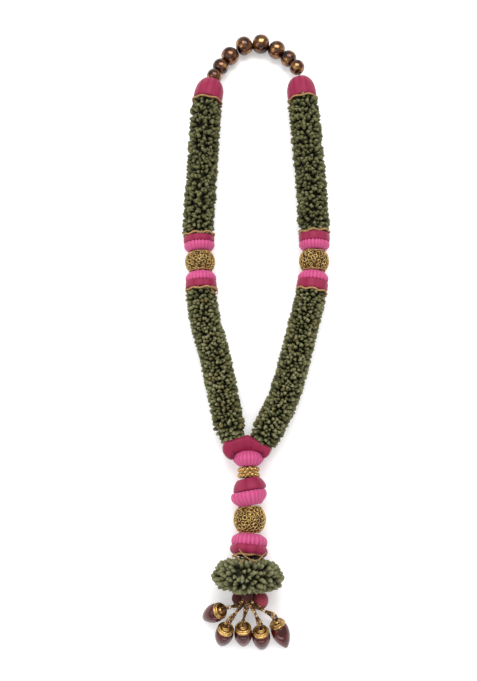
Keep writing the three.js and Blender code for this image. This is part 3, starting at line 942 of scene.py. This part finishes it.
collar = bpy.data.objects.new("magenta_collar_satin", frame["nodes"]["magenta_collar"].data.copy())
bpy.context.scene.collection.objects.link(collar)
modified(collar, ("REMESH", {"mode": "VOXEL", "voxel_size": 1.5 * MM}),
         ("SMOOTH", {"factor": 0.5, "iterations": 14}))
collar.data.materials.clear()
collar.data.materials.append(magenta_satin)
count = len(collar.data.vertices)
points, normals = np.empty(count * 3), np.empty(count * 3)
collar.data.vertices.foreach_get("co", points)
collar.data.vertices.foreach_get("normal", normals)
points, normals = points.reshape(-1, 3), normals.reshape(-1, 3)
gather = in_frame([GATHER_PLACE])[0]
fan = np.arctan2(points[:, 0] - gather[0], points[:, 1] - gather[1])
folds = np.abs(np.cos(fan * 6 + 0.4 * np.sin(fan * 3))) ** 0.8
points += normals * ((folds - 0.5) * 0.5 * MM)[:, None]
# The collar is pinched to the tubes' width, and the puff below is tucked up over its front.
beside = points - in_frame([COLLAR_MIDDLE])[0]
tuck = np.exp(-(beside[:, 0] / (TUCK_WIDTH * MM)) ** 2 - (beside[:, 1] / (TUCK_LENGTH * MM)) ** 2)
points[:, 0] -= PINCH * beside[:, 0]
points[:, 2] -= TUCK * tuck * beside[:, 2]
collar.data.vertices.foreach_set("co", points.ravel())
# Painted shade: the folds set the pleat value, so the satin is darker in each fold's valley.
collar.data.attributes.new("pleat_shade", "FLOAT", "POINT").data.foreach_set("value", 0.36 + 0.14 * folds)
collar.data.polygons.foreach_set("use_smooth", [True] * len(collar.data.polygons))
collar.data.update()
pieces_of(collar, ["magenta_collar"])

# %% [markdown]
# ## Stuffing
# The satin pieces are ribbon round soft wadding. A short cloth simulation presses on each one from inside
# while its gathers stay pinned to the thread, and no point may move further than the ribbon gives. Ribbon
# this small is stiff and at this pressure it hardly moves, so the outlines above are what gives the shape.
# %% Stuffing
STUFFING_FRAMES = 12
STUFFING_PRESSURE = 4.0
PINNED_SHARE = 0.66
RIBBON_GIVE = 1.0


def coordinates(mesh):
    values = np.empty(len(mesh.vertices) * 3)
    mesh.vertices.foreach_get("co", values)
    return values.reshape(-1, 3)


def stuff(things):
    """Presses on all the pieces in one simulation and keeps their points within the ribbon's give."""
    for thing in things:
        start = coordinates(thing.data)
        spread = np.linalg.norm(start - start.mean(axis=0), axis=1)
        pins = thing.vertex_groups.new(name="gathers")
        pins.add([int(i) for i in np.nonzero(spread < PINNED_SHARE * spread.max())[0]], 1.0, "ADD")
        cloth = thing.modifiers.new("stuffing", "CLOTH")
        cloth.settings.quality = 3
        cloth.settings.mass = 0.1
        cloth.settings.use_pressure = True
        cloth.settings.uniform_pressure_force = STUFFING_PRESSURE
        cloth.settings.vertex_group_mass = "gathers"
        cloth.settings.effector_weights.gravity = 0.0
        cloth.point_cache.frame_start, cloth.point_cache.frame_end = 1, STUFFING_FRAMES
    scene = bpy.context.scene
    for step in range(1, STUFFING_FRAMES + 1):
        scene.frame_set(step)
    depsgraph = bpy.context.evaluated_depsgraph_get()
    moved = {thing.name: coordinates(thing.evaluated_get(depsgraph).data) for thing in things}
    scene.frame_set(1)
    for thing in things:
        start = coordinates(thing.data)
        shift = moved[thing.name] - start
        far = np.linalg.norm(shift, axis=1, keepdims=True)
        shift *= np.minimum(1, RIBBON_GIVE * MM / np.maximum(far, 1e-9))
        thing.modifiers.clear()
        thing.vertex_groups.clear()
        thing.data.vertices.foreach_set("co", (start + np.nan_to_num(shift)).ravel())
        thing.data.update()
        print(f"{thing.name}: moved {float(np.median(far)) / MM:.2f} mm")


stuff([thing for thing in bpy.context.scene.objects if thing.name.endswith("_satin")])

# %% [markdown]
# ## Twisted zari cords
# Three gold-thread plies are twisted into each cord. The tree tilts the line's points a little more each
# step and sweeps three small circles along it, which is the twist. A cord round a tube lies in waves.
# %% Twisted cords


def twisted_tree():
    tree, given = geometry_tree("twisted_cord", ("Steps", "Int"), ("Turns", "Float"), ("Spread", "Float"),
                                ("Ply radius", "Float"))
    path = add_node(tree, "GeometryNodeMeshToCurve", {0: given["Geometry"]}).outputs[0]
    path = add_node(tree, "GeometryNodeResampleCurve", {"Curve": path, "Count": given["Steps"]}).outputs[0]
    along = add_node(tree, "GeometryNodeSplineParameter").outputs["Factor"]
    tilt = maths(tree, "MULTIPLY", along, maths(tree, "MULTIPLY", given["Turns"], math.tau))
    path = add_node(tree, "GeometryNodeSetCurveTilt", {"Curve": path, "Tilt": tilt}).outputs[0]
    middles = add_node(tree, "GeometryNodeMeshCircle",
                       {"Vertices": 3, "Radius": given["Spread"]}).outputs[0]
    ply = add_node(tree, "GeometryNodeCurvePrimitiveCircle",
                   {"Resolution": 6, "Radius": given["Ply radius"]}).outputs[0]
    plies = add_node(tree, "GeometryNodeInstanceOnPoints", {"Points": middles, "Instance": ply}).outputs[0]
    plies = add_node(tree, "GeometryNodeRealizeInstances", {"Geometry": plies}).outputs[0]
    cord = add_node(tree, "GeometryNodeCurveToMesh",
                    {"Curve": path, "Profile Curve": plies, "Fill Caps": True}).outputs[0]
    close_tree(tree, given, cord)
    return tree


twisted_cord = twisted_tree()


def cord_along(name, line, thick, material, closed=False):
    """A three-ply cord of that thickness in millimetres along a line of the frame."""
    long = length_of(np.vstack([line, line[:1]]) if closed else line) / MM
    ply = thick * 0.27
    return grown(name, line_object(line, closed), twisted_cord,
                 {"Steps": max(round(long / 0.9), 12), "Turns": float(round(long / (thick * 3.2))),
                  "Spread": ply * 1.05 * MM, "Ply radius": ply * MM, "Material": material})


def wavy_ring(seat, radius, waves, sway, lift=0.0, points=96):
    """A closed ring round a seat's axis that sways along it."""
    angle = np.linspace(0, 2 * np.pi, points, endpoint=False)
    along = sway * np.sin(waves * angle + rng.uniform(0, 6)) + 0.5 * sway * np.sin(2 * angle + 1) + lift
    out = radius + 0.4 * sway * np.cos(waves * angle)
    return placed(seat, np.column_stack([out * np.cos(angle), along, out * np.sin(angle)]))


ZARI_THICKNESS = 2.9
# The cord's place on a leg, its radius, and how many waves it lies in and how far they sway.
ZARI_RINGS = (("cap", 22.8, 6, 0.8), ("upper", 23.2, 7, 1.1), ("lower", 23.2, 7, 1.1))
for side, leg in legs.items():
    for kind, radius, waves, sway in ZARI_RINGS:
        node = f"{side}_{kind}_zari_cord"
        ring = wavy_ring(seat_of(node, leg), radius, waves, sway)
        cord = cord_along(node + "_twisted", ring, ZARI_THICKNESS, zari_thread, True)
        pieces_of(cord, [node])

ring = wavy_ring(seat_of("ruffle_zari_cord", pendant), 21.5, 5, 1.2)
cord = cord_along("ruffle_zari_cord_twisted", ring, 3.0, zari_thread, True)
pieces_of(cord, ["ruffle_zari_cord"])

# %% [markdown]
# ## Loose ends of zari
# Where the cords are tied off, short lengths lie over the ruffle's top, and one small loop stands out
# beside the left joint.
# %% Loose ends
LOOSE_ENDS = {
    "ruffle_zari_end_1": [(-26, -300.5, 55), (-19, -308, 60), (-11, -313.5, 62.5), (-2, -316, 62)],
    "ruffle_zari_end_2": [(-33, -306, 50), (-28, -311.5, 56), (-21, -317.5, 60.5)],
    "ruffle_zari_end_3": [(12, -305, 52), (7, -309, 57), (0, -315, 61)],
    "left_joint_zari_loop": [(-67, 83, 42), (-62, 79.5, 40), (-58, 75, 36), (-60, 71.5, 35), (-64, 74, 38),
                             (-68, 78, 42)],
}
for name, points in LOOSE_ENDS.items():
    line = resampled(in_frame(smooth_line(points)), 40)
    pieces_of(cord_along(name, line, 1.7, zari_thread), [])

# %% [markdown]
# ## Filigree
# Hollow gold beads of soldered wire: round loops of wire touch each other over the shell and small gold
# grains sit where they meet. A dark wall inside, painted as the shade in the hollow, shows through. The tree
# scatters the loops evenly over the shell and lays each one flat on it.
# %% Filigree


def filigree_tree():
    tree, given = geometry_tree("filigree", ("Spacing", "Float"), ("Wire", "Float"), ("Seed", "Int"))
    shell = given["Geometry"]

    def scattered(spacing, seed):
        node = add_node(tree, "GeometryNodeDistributePointsOnFaces",
                        {"Mesh": shell, "Distance Min": spacing, "Density Max": 200000.0,
                         "Seed": seed}, distribute_method="POISSON")
        return node.outputs["Points"], node.outputs["Normal"]

    still = add_node(tree, "FunctionNodeInputVector").outputs[0]
    places, normal = scattered(given["Spacing"], given["Seed"])
    radius = maths(tree, "MULTIPLY", given["Spacing"], 0.5)
    hoop = add_node(tree, "GeometryNodeCurvePrimitiveCircle",
                    {"Resolution": 10, "Radius": radius}).outputs[0]
    section = add_node(tree, "GeometryNodeCurvePrimitiveCircle",
                       {"Resolution": 5, "Radius": given["Wire"]}).outputs[0]
    loop = add_node(tree, "GeometryNodeCurveToMesh", {"Curve": hoop, "Profile Curve": section}).outputs[0]
    loops = add_node(tree, "GeometryNodeInstanceOnPoints",
                     {"Points": places, "Instance": loop, "Rotation": facing(tree, normal, still),
                      "Scale": random_number(tree, 0.85, 1.2, 4)}).outputs[0]
    grain = add_node(tree, "GeometryNodeMeshIcoSphere",
                     {"Radius": maths(tree, "MULTIPLY", given["Wire"], 1.9), "Subdivisions": 2}).outputs[0]
    spots, _ = scattered(maths(tree, "MULTIPLY", given["Spacing"], 0.95), 9)
    grains = add_node(tree, "GeometryNodeInstanceOnPoints", {"Points": spots, "Instance": grain}).outputs[0]
    joined = add_node(tree, "GeometryNodeJoinGeometry")
    for branch in (loops, grains):
        tree.links.new(branch, joined.inputs[0])
    close_tree(tree, given, joined.outputs[0])
    return tree


filigree = filigree_tree()
WALL_BORE, WALL_INSET, WALL_LEAST = 9.6, 1.0, 12
WIRE_INSET, WIRE_LEAST = 0.3, 12.5
LID_AREA = 30e-6    # in square metres: a larger face is a lid and no part of the shell
RING_INSET, RING_THICKNESS = 0.9, 2.2


def filigree_bead(node, seat, profile, spacing, wire, collar_radius):
    """A filigree bead: dark wall painted as the shade inside, wire loops over its outside, and a ring of
    cord at each end.
    """
    half = seat["length"] / 2
    outside = outline([(r, (s - 0.5) * 2 * half) for s, r in profile], 30, soft=False)
    wall = [(r - WALL_INSET, h) for r, h in outside if r > WALL_LEAST]
    bored = [(WALL_BORE, wall[-1][1]), (WALL_BORE, wall[0][1])]
    # The dark wall is painted shade for the hollow inside the bead.
    dark = turned_form(node + "_wall", seat, *spun(outline([*wall, *bored], 60, soft=False), 56), shade_lining)
    pieces_of(dark, [node])
    grid = np.array([(r - WIRE_INSET, h) for r, h in outside if r > WIRE_LEAST])
    shell = turned_form("shell", seat, *spun(grid, 48), gold)
    skin = bmesh.new()
    skin.from_mesh(shell.data)
    lids = [f for f in skin.faces if abs((np.array(f.calc_center_median()) - seat["middle"])
            @ seat["axes"][1]) > (half - 0.5) * MM or f.calc_area() > LID_AREA]
    bmesh.ops.delete(skin, geom=lids, context="FACES")
    skin.to_mesh(shell.data)
    skin.free()
    work = grown(node + "_wirework", shell, filigree,
                 {"Spacing": spacing * MM, "Wire": wire * MM, "Seed": 6, "Material": gold})
    pieces_of(work, [])
    for end, sign in (("start", -1), ("end", 1)):
        circle = wavy_ring(seat, collar_radius, 5, 0.25, sign * (half - RING_INSET), 64)
        cord = cord_along(f"{node}_{end}_ring", circle, RING_THICKNESS, zari_thread, True)
        pieces_of(cord, [])


BARREL_PROFILE = [(0.0, 14.0), (0.03, 17.0), (0.16, 20.4), (0.34, 22.4), (0.5, 22.9), (0.66, 22.4),
                  (0.84, 20.4), (0.97, 17.0), (1.0, 14.0)]
for side, leg in legs.items():
    node = f"{side}_filigree_barrel"
    filigree_bead(node, seat_of(node, leg), BARREL_PROFILE, 5.3, 0.46, 16.6)
BALL_RADIUS = 23.5
ball_seat = seat_of("filigree_ball", pendant)
arc = np.linspace(-0.5 * np.pi, 0.5 * np.pi, 33)
ball_profile = [(0.5 + BALL_RADIUS * math.sin(a) / ball_seat["length"], BALL_RADIUS * math.cos(a))
                for a in arc if abs(BALL_RADIUS * math.sin(a)) < ball_seat["length"] / 2]
filigree_bead("filigree_ball", ball_seat, ball_profile, 5.5, 0.5, 13.6)

# %% [markdown]
# ## Small barrel
# A plain brass core with two rows of gold knots, each as big as a lentil.
# %% Small barrel


def knots_tree():
    """Round grains on every point of a line, with a random size and tint."""
    tree, given = geometry_tree("grains", ("Count", "Int"), ("Radius", "Float"), ("Offset", "Float"),
                                ("Twist", "Float"), ("Seed", "Int"))
    path = add_node(tree, "GeometryNodeMeshToCurve", {0: given["Geometry"]}).outputs[0]
    path = add_node(tree, "GeometryNodeResampleCurve", {"Curve": path, "Count": given["Count"]}).outputs[0]
    grain = add_node(tree, "GeometryNodeMeshUVSphere",
                     {"Segments": 10, "Rings": 6, "Radius": given["Radius"]}).outputs[0]
    index = add_node(tree, "GeometryNodeInputIndex").outputs[0]
    tangent = add_node(tree, "GeometryNodeInputTangent").outputs[0]
    sideways = vector_maths(tree, "NORMALIZE", vector_maths(tree, "CROSS_PRODUCT", tangent, (0, 0, 1)))
    upwards = vector_maths(tree, "CROSS_PRODUCT", sideways, tangent)
    turn = maths(tree, "MULTIPLY", index, given["Twist"])
    joined = add_node(tree, "GeometryNodeJoinGeometry")
    for phase in (0.0, math.pi):
        angle = maths(tree, "ADD", turn, phase)
        shift = vector_maths(tree, "ADD",
                             vector_maths(tree, "SCALE", sideways, maths(tree, "COSINE", angle)),
                             vector_maths(tree, "SCALE", upwards, maths(tree, "SINE", angle)))
        shift = vector_maths(tree, "SCALE", shift, given["Offset"])
        spots = add_node(tree, "GeometryNodeSetPosition", {"Geometry": path, "Offset": shift}).outputs[0]
        seed = maths(tree, "ADD", given["Seed"], phase * 3)
        grains = add_node(tree, "GeometryNodeInstanceOnPoints",
                          {"Points": spots, "Instance": grain,
                           "Scale": random_number(tree, 0.85, 1.12, seed)}).outputs[0]
        grains = stored(tree, grains, "bead_tint", random_number(tree, 0.0, 1.0, seed), "FLOAT", "INSTANCE")
        tree.links.new(grains, joined.inputs[0])
    close_tree(tree, given, joined.outputs[0])
    return tree


grain_strings = knots_tree()
small_seat = seat_of("small_gold_barrel", pendant)
half = small_seat["length"] / 2
core = outline([(12.6, -half), (14.2, 0.6 - half), (13.4, 0), (14.2, half - 0.6), (12.6, half), (6.0, half),
                (6.0, -half)], 48, soft=False)
drum = turned_form("small_gold_barrel_core", small_seat, *spun(core, 48), cap_gold)
pieces_of(drum, ["small_gold_barrel"])
KNOT_ROWS, KNOTS_A_ROW, KNOT_RADIUS = (-4.1, 4.1), 13, 3.5
for row, level in enumerate(KNOT_ROWS):
    ring = wavy_ring(small_seat, 13.0, 4, 0.3, level, 64)
    knots = grown(f"small_gold_barrel_knots_{row + 1}", line_object(ring, True), grain_strings,
                  {"Count": KNOTS_A_ROW, "Radius": KNOT_RADIUS * MM, "Offset": 0.0, "Twist": 0.0,
                   "Seed": 2 + row, "Material": cap_gold})
    pieces_of(knots, [])

# %% [markdown]
# ## Ruffle
# A thick pompon of pods under the pads, flattened on the table. The pods stand evenly over a flattened
# core and point away from its middle.
# %% Ruffle


def pompon_tree():
    tree, given = geometry_tree("pompon_pods", ("Spacing", "Float"), ("Wildness", "Float"),
                                ("Middle", "Vector"), ("Pod", "Object"), ("Seed", "Int"))
    scatter = add_node(tree, "GeometryNodeDistributePointsOnFaces",
                       {"Mesh": given["Geometry"], "Distance Min": given["Spacing"],
                        "Density Max": 400000.0, "Seed": given["Seed"]}, distribute_method="POISSON")
    place = add_node(tree, "GeometryNodeInputPosition").outputs[0]
    away = vector_maths(tree, "NORMALIZE", vector_maths(tree, "SUBTRACT", place, given["Middle"]))
    stray = vector_maths(tree, "SCALE", random_vector(tree, (-1, -1, -1), (1, 1, 1), given["Seed"]),
                         given["Wildness"])
    flat = vector_maths(tree, "MULTIPLY", away, (1.5, 1.5, 0.55))
    kept_normal = stored(tree, scatter.outputs["Points"], "out", scatter.outputs["Normal"], "FLOAT_VECTOR")
    direction = vector_maths(tree, "ADD", vector_maths(
        tree, "ADD", flat, vector_maths(tree, "SCALE", recalled(tree, "out", "FLOAT_VECTOR"), 0.55)), stray)
    spin = random_vector(tree, (0, 0, 0), (0, 0, math.tau), given["Seed"])
    one_pod = add_node(tree, "GeometryNodeObjectInfo", {"Object": given["Pod"]}).outputs["Geometry"]
    pods = add_node(tree, "GeometryNodeInstanceOnPoints",
                    {"Points": kept_normal, "Instance": one_pod, "Rotation": facing(tree, direction, spin),
                     "Scale": random_number(tree, 0.9, 1.2, given["Seed"])}).outputs[0]
    pods = stored(tree, pods, "pod_tint", random_number(tree, 0.55, 0.94, given["Seed"]),
                  "FLOAT", "INSTANCE")
    close_tree(tree, given, pods)
    return tree


pompon_pods = pompon_tree()
ruffle_seat = seat_of("cardamom_ruffle", pendant)
RUFFLE_FLATTEN = 0.7
RUFFLE_SPACING = 3.7
BARE_BORE = 9              # no pod grows nearer the thread than this
BLOOM = (4, 4, 6)          # the pods point away from here, off the ruffle's middle
half = ruffle_seat["length"] / 2
inner_outline = [(7.5, -half + 6), (20, -half + 8.5), (32, -half + 10), (37.5, -4), (38, 4), (34, half - 11),
                 (22, half - 9), (7.5, half - 7)]
inner = outline([*inner_outline, (6.5, half - 8), (6.5, 7 - half)], 40)
# The ruffle's core takes the rope's near-black painted shade, seen between the pods.
heart = turned_form("cardamom_ruffle_heart", ruffle_seat, *spun(inner, 64), painted_shade_rope,
                    flatten=RUFFLE_FLATTEN)
skin = heart.copy()
skin.data = heart.data.copy()
bpy.context.scene.collection.objects.link(skin)
form = bmesh.new()
form.from_mesh(skin.data)
axis_distance = [np.linalg.norm(np.cross(np.array(f.calc_center_median()) - ruffle_seat["middle"],
                                         ruffle_seat["axes"][1])) for f in form.faces]
bmesh.ops.delete(form, geom=[f for f, d in zip(list(form.faces), axis_distance) if d < BARE_BORE * MM],
                 context="FACES")
form.to_mesh(skin.data)
form.free()
ruffle = grown("cardamom_ruffle_pods", skin, pompon_pods,
               {"Spacing": RUFFLE_SPACING * MM, "Wildness": 0.75,
                "Middle": tuple(placed(ruffle_seat, BLOOM)), "Pod": pod,
                "Seed": 8, "Material": husk})
pieces_of(ruffle, ["cardamom_ruffle"])
pieces_of(heart, [])

# %% [markdown]
# ## Felt balls
# Two needle-felted wool balls under the ruffle. Felt is never quite round and its skin is fibrous.
# %% Felt balls
LUMPINESS = 0.03
# The left ball takes the felt with painted shade.
for node, radius, wool in (("felt_ball_left", 11.0, painted_shade_felt), ("felt_ball_right", 13.0, felt)):
    seat = {"middle": box_middle(node), "axes": np.eye(3), "length": radius * 2}
    angle = np.linspace(-0.5 * np.pi, 0.5 * np.pi, 41)
    profile = np.column_stack([radius * np.cos(angle), radius * np.sin(angle)])
    profile[[0, -1], 0] = 0
    grid_radius, grid_height = spun(profile, 64)
    lumps = rng.normal(0, 1, grid_radius.shape)
    for _ in range(2):
        lumps = (lumps + np.roll(lumps, 1, 1) + np.roll(lumps, -1, 1) + np.roll(lumps, 1, 0)) / 4
    swell = 1 + LUMPINESS * lumps
    swell[[0, -1]] = 1
    ball = turned_form(node + "_wool", seat, grid_radius * swell, grid_height * swell, wool)
    pieces_of(ball, [node])

# %% [markdown]
# ## Tassel
# Five strings of seed beads leave one knot. Each is a twisted pair on a limp thread, and carries a
# stamped gold cap and a glass drop. The thread is the cord, and the beads, cap and drop ride on it.
# %% Tassel
# The way each drop points, in degrees: its heading round from the right, and its slope down from level.
DROPS = [(209, 44), (254, 46), (271, 44), (275, 44), (292, 21)]
CAP_HEIGHT = 9.5
DROP_LENGTH = 38.0
KNOT_X, KNOT_STEP = -14.5, 3.4
KNOT_PLACES = ((-376, 33.0), (-372, 38.0))
SEED_PITCH, SEED_RADIUS = 3.0, 2.1
PAIR_OFFSET, PAIR_TWIST = 2.5, 0.26    # how far apart the two runs lie, and how much each bead turns
DROP_OUTLINE = [(0, 0), (9.6, 0.15), (12.2, 3.6), (13.0, 9.5), (12.6, 15), (11.2, 20.5), (8.6, 27),
                (5.0, 33), (2.2, 36.4), (0, 38)]
CAP_OUTSIDE = [(1.4, -8.2), (3.2, -8.1), (4.4, -7.2), (5.0, -6.1), (6.8, -5.8), (8.6, -6.4), (9.8, -5.8),
               (10.2, -4.5), (9.9, -3.7), (11.2, -3.3), (11.9, -2.4), (11.7, -1.0), (10.6, -0.4)]
CAP_INSIDE = [(9.0, -1.6), (6.0, -4.0), (1.4, -4.6)]
for index, (heading, slope) in enumerate(DROPS, 1):
    h, s = math.radians(heading), math.radians(slope)
    along = np.array((math.cos(h) * math.cos(s), math.sin(h) * math.cos(s), -math.sin(s)))
    drop_seat = seat_along(f"glass_drop_{index}", along)
    hanger = {**drop_seat, "middle": drop_seat["middle"] - along * DROP_LENGTH / 2 * MM}
    drop = turned_form(f"glass_drop_{index}_glass", hanger, *spun(outline(DROP_OUTLINE, 40), 40), glass)
    pieces_of(drop, [f"glass_drop_{index}"])
    cap_form = outline([*CAP_OUTSIDE, *CAP_INSIDE], 72, soft=False)
    gold_cap = turned_form(f"drop_cap_{index}_stamped", hanger, *spun(cap_form, 48), cap_gold)
    pieces_of(gold_cap, [f"drop_cap_{index}"])
    spread = index - 3
    knot = in_frame([(KNOT_X + spread * KNOT_STEP, *KNOT_PLACES[index % 2 == 0])])[0]
    lead = hanger["middle"] - along * (CAP_HEIGHT - 1.2) * MM
    before = lead - along * 7 * MM
    sag = (knot + before) / 2 + np.array((0, 0, 0.6 * MM))
    string = resampled(smooth_line([knot, sag, before, lead]), 48)
    long = length_of(string)
    beads = grown(f"tassel_strand_{index}_beads", line_object(string), grain_strings,
                  {"Count": round(long / MM / SEED_PITCH), "Radius": SEED_RADIUS * MM,
                   "Offset": PAIR_OFFSET * MM, "Twist": PAIR_TWIST,
                   "Seed": 20 + index, "Material": seed_gold})
    pieces_of(beads, [f"tassel_strand_{index}"])
    thread = tube_along(f"tassel_thread_{index}", string, 0.35, 8, maroon_thread)
    pieces_of(thread, [])
    print(f"  string {index}: {long / MM:.1f} mm")

# %% [markdown]
# ## Tassel knot
# The two runs of the thread are whipped together with turns of the same thread under the ruffle, and the
# strings are tied into the whipping.
# %% Tassel knot
WHIPPING_ENDS = (-376, -356)
WHIPPING_TURNS, WHIPPING_POINTS = 9, 300
whipped = part_of_line(pendant[::-1], *(in_frame([(0, y, 0)])[0][1] for y in WHIPPING_ENDS))
angle = np.linspace(0, 2 * np.pi * WHIPPING_TURNS, WHIPPING_POINTS)
share = np.linspace(0, 1, WHIPPING_POINTS)
steps = np.linspace(0, 1, len(whipped))
spine = np.column_stack([np.interp(share, steps, whipped[:, k]) for k in range(3)])
swell = (4.0 + 2.2 * np.sin(share * np.pi) + 1.5 * (1 - share)) * MM
coil = spine + np.column_stack([np.cos(angle) * swell, np.zeros(WHIPPING_POINTS), np.sin(angle) * swell])
pieces_of(cord_along("tassel_knot_whipping", coil, 2.6, maroon_thread), [])

# %% [markdown]
# ## Main thread
# One waxed thread goes up a leg, round the neck, down the other leg and back through the pendant. It
# shows between the beads.
# %% Main thread
CORD_SPREAD = 1.5
THREAD_STEPS, THREAD_TURNS = 1500, 420.0
down = [(x - CORD_SPREAD, y, z) for x, y, z in PENDANT]
back = [(x + CORD_SPREAD, y, z) for x, y, z in PENDANT]
route = [*reversed(down), *leg_points(LEFT_LEG), LEFT_TOP, *NECK, RIGHT_TOP,
         *reversed(leg_points(RIGHT_LEG)), *back]
main_line = in_frame(smooth_line(route, 12))
main = grown("main_cord_waxed", line_object(main_line), twisted_cord,
             {"Steps": THREAD_STEPS, "Turns": THREAD_TURNS, "Spread": 0.62 * MM, "Ply radius": 0.58 * MM,
              "Material": maroon_thread})
pieces_of(main, ["main_cord"])
print(f"  {length_of(main_line):.2f} m of thread")
bpy.data.objects.remove(pod)

# %% [markdown]
# ## Table and light
# The garland lies on a plain white table under one wide soft light from beyond the neck, a weaker one
# from the left and a low strip at the tassel's end that draws a glint along each drop.
# %% Table and light


def white_table(tree):
    return {"Base Color": (0.93, 0.93, 0.93, 1), "Roughness": 0.9, "Specular IOR Level": 0.1,
            "Emission Color": (1, 1, 1, 1), "Emission Strength": 0.22}


TABLE_REACH, TABLE_LEVEL = 4, -0.0012
corners = [(x * TABLE_REACH, y * TABLE_REACH, TABLE_LEVEL) for x, y in ((-1, -1), (1, -1), (1, 1), (-1, 1))]
floor = make_object("table", corners, [(0, 1, 2, 3)], surface_material("white_table", white_table))


def area_light(name, place, aim, width, depth, power):
    lamp = bpy.data.objects.new(name, bpy.data.lights.new(name, "AREA"))
    lamp.data.shape = "RECTANGLE"
    lamp.data.size, lamp.data.size_y, lamp.data.energy = width, depth, power
    lamp.location = place
    lamp.rotation_euler = (Vector(aim) - Vector(place)).to_track_quat("-Z", "Y").to_euler()
    bpy.context.scene.collection.objects.link(lamp)


area_light("key_light", (0.1, 0.9, 1.7), (0, 0, 0), 1.6, 1.0, 26)
area_light("fill_light", (-1.3, -0.3, 1.2), (0, 0, 0), 1.2, 1.2, 7)
area_light("glint_light", (0.0, -1.4, 0.45), (0, -0.4, 0), 1.0, 0.25, 3)
world = bpy.data.worlds.new("studio")
world.use_nodes = True
world.node_tree.nodes["Background"].inputs["Color"].default_value = (1, 1, 1, 1)
world.node_tree.nodes["Background"].inputs["Strength"].default_value = 0.75
bpy.context.scene.world = world
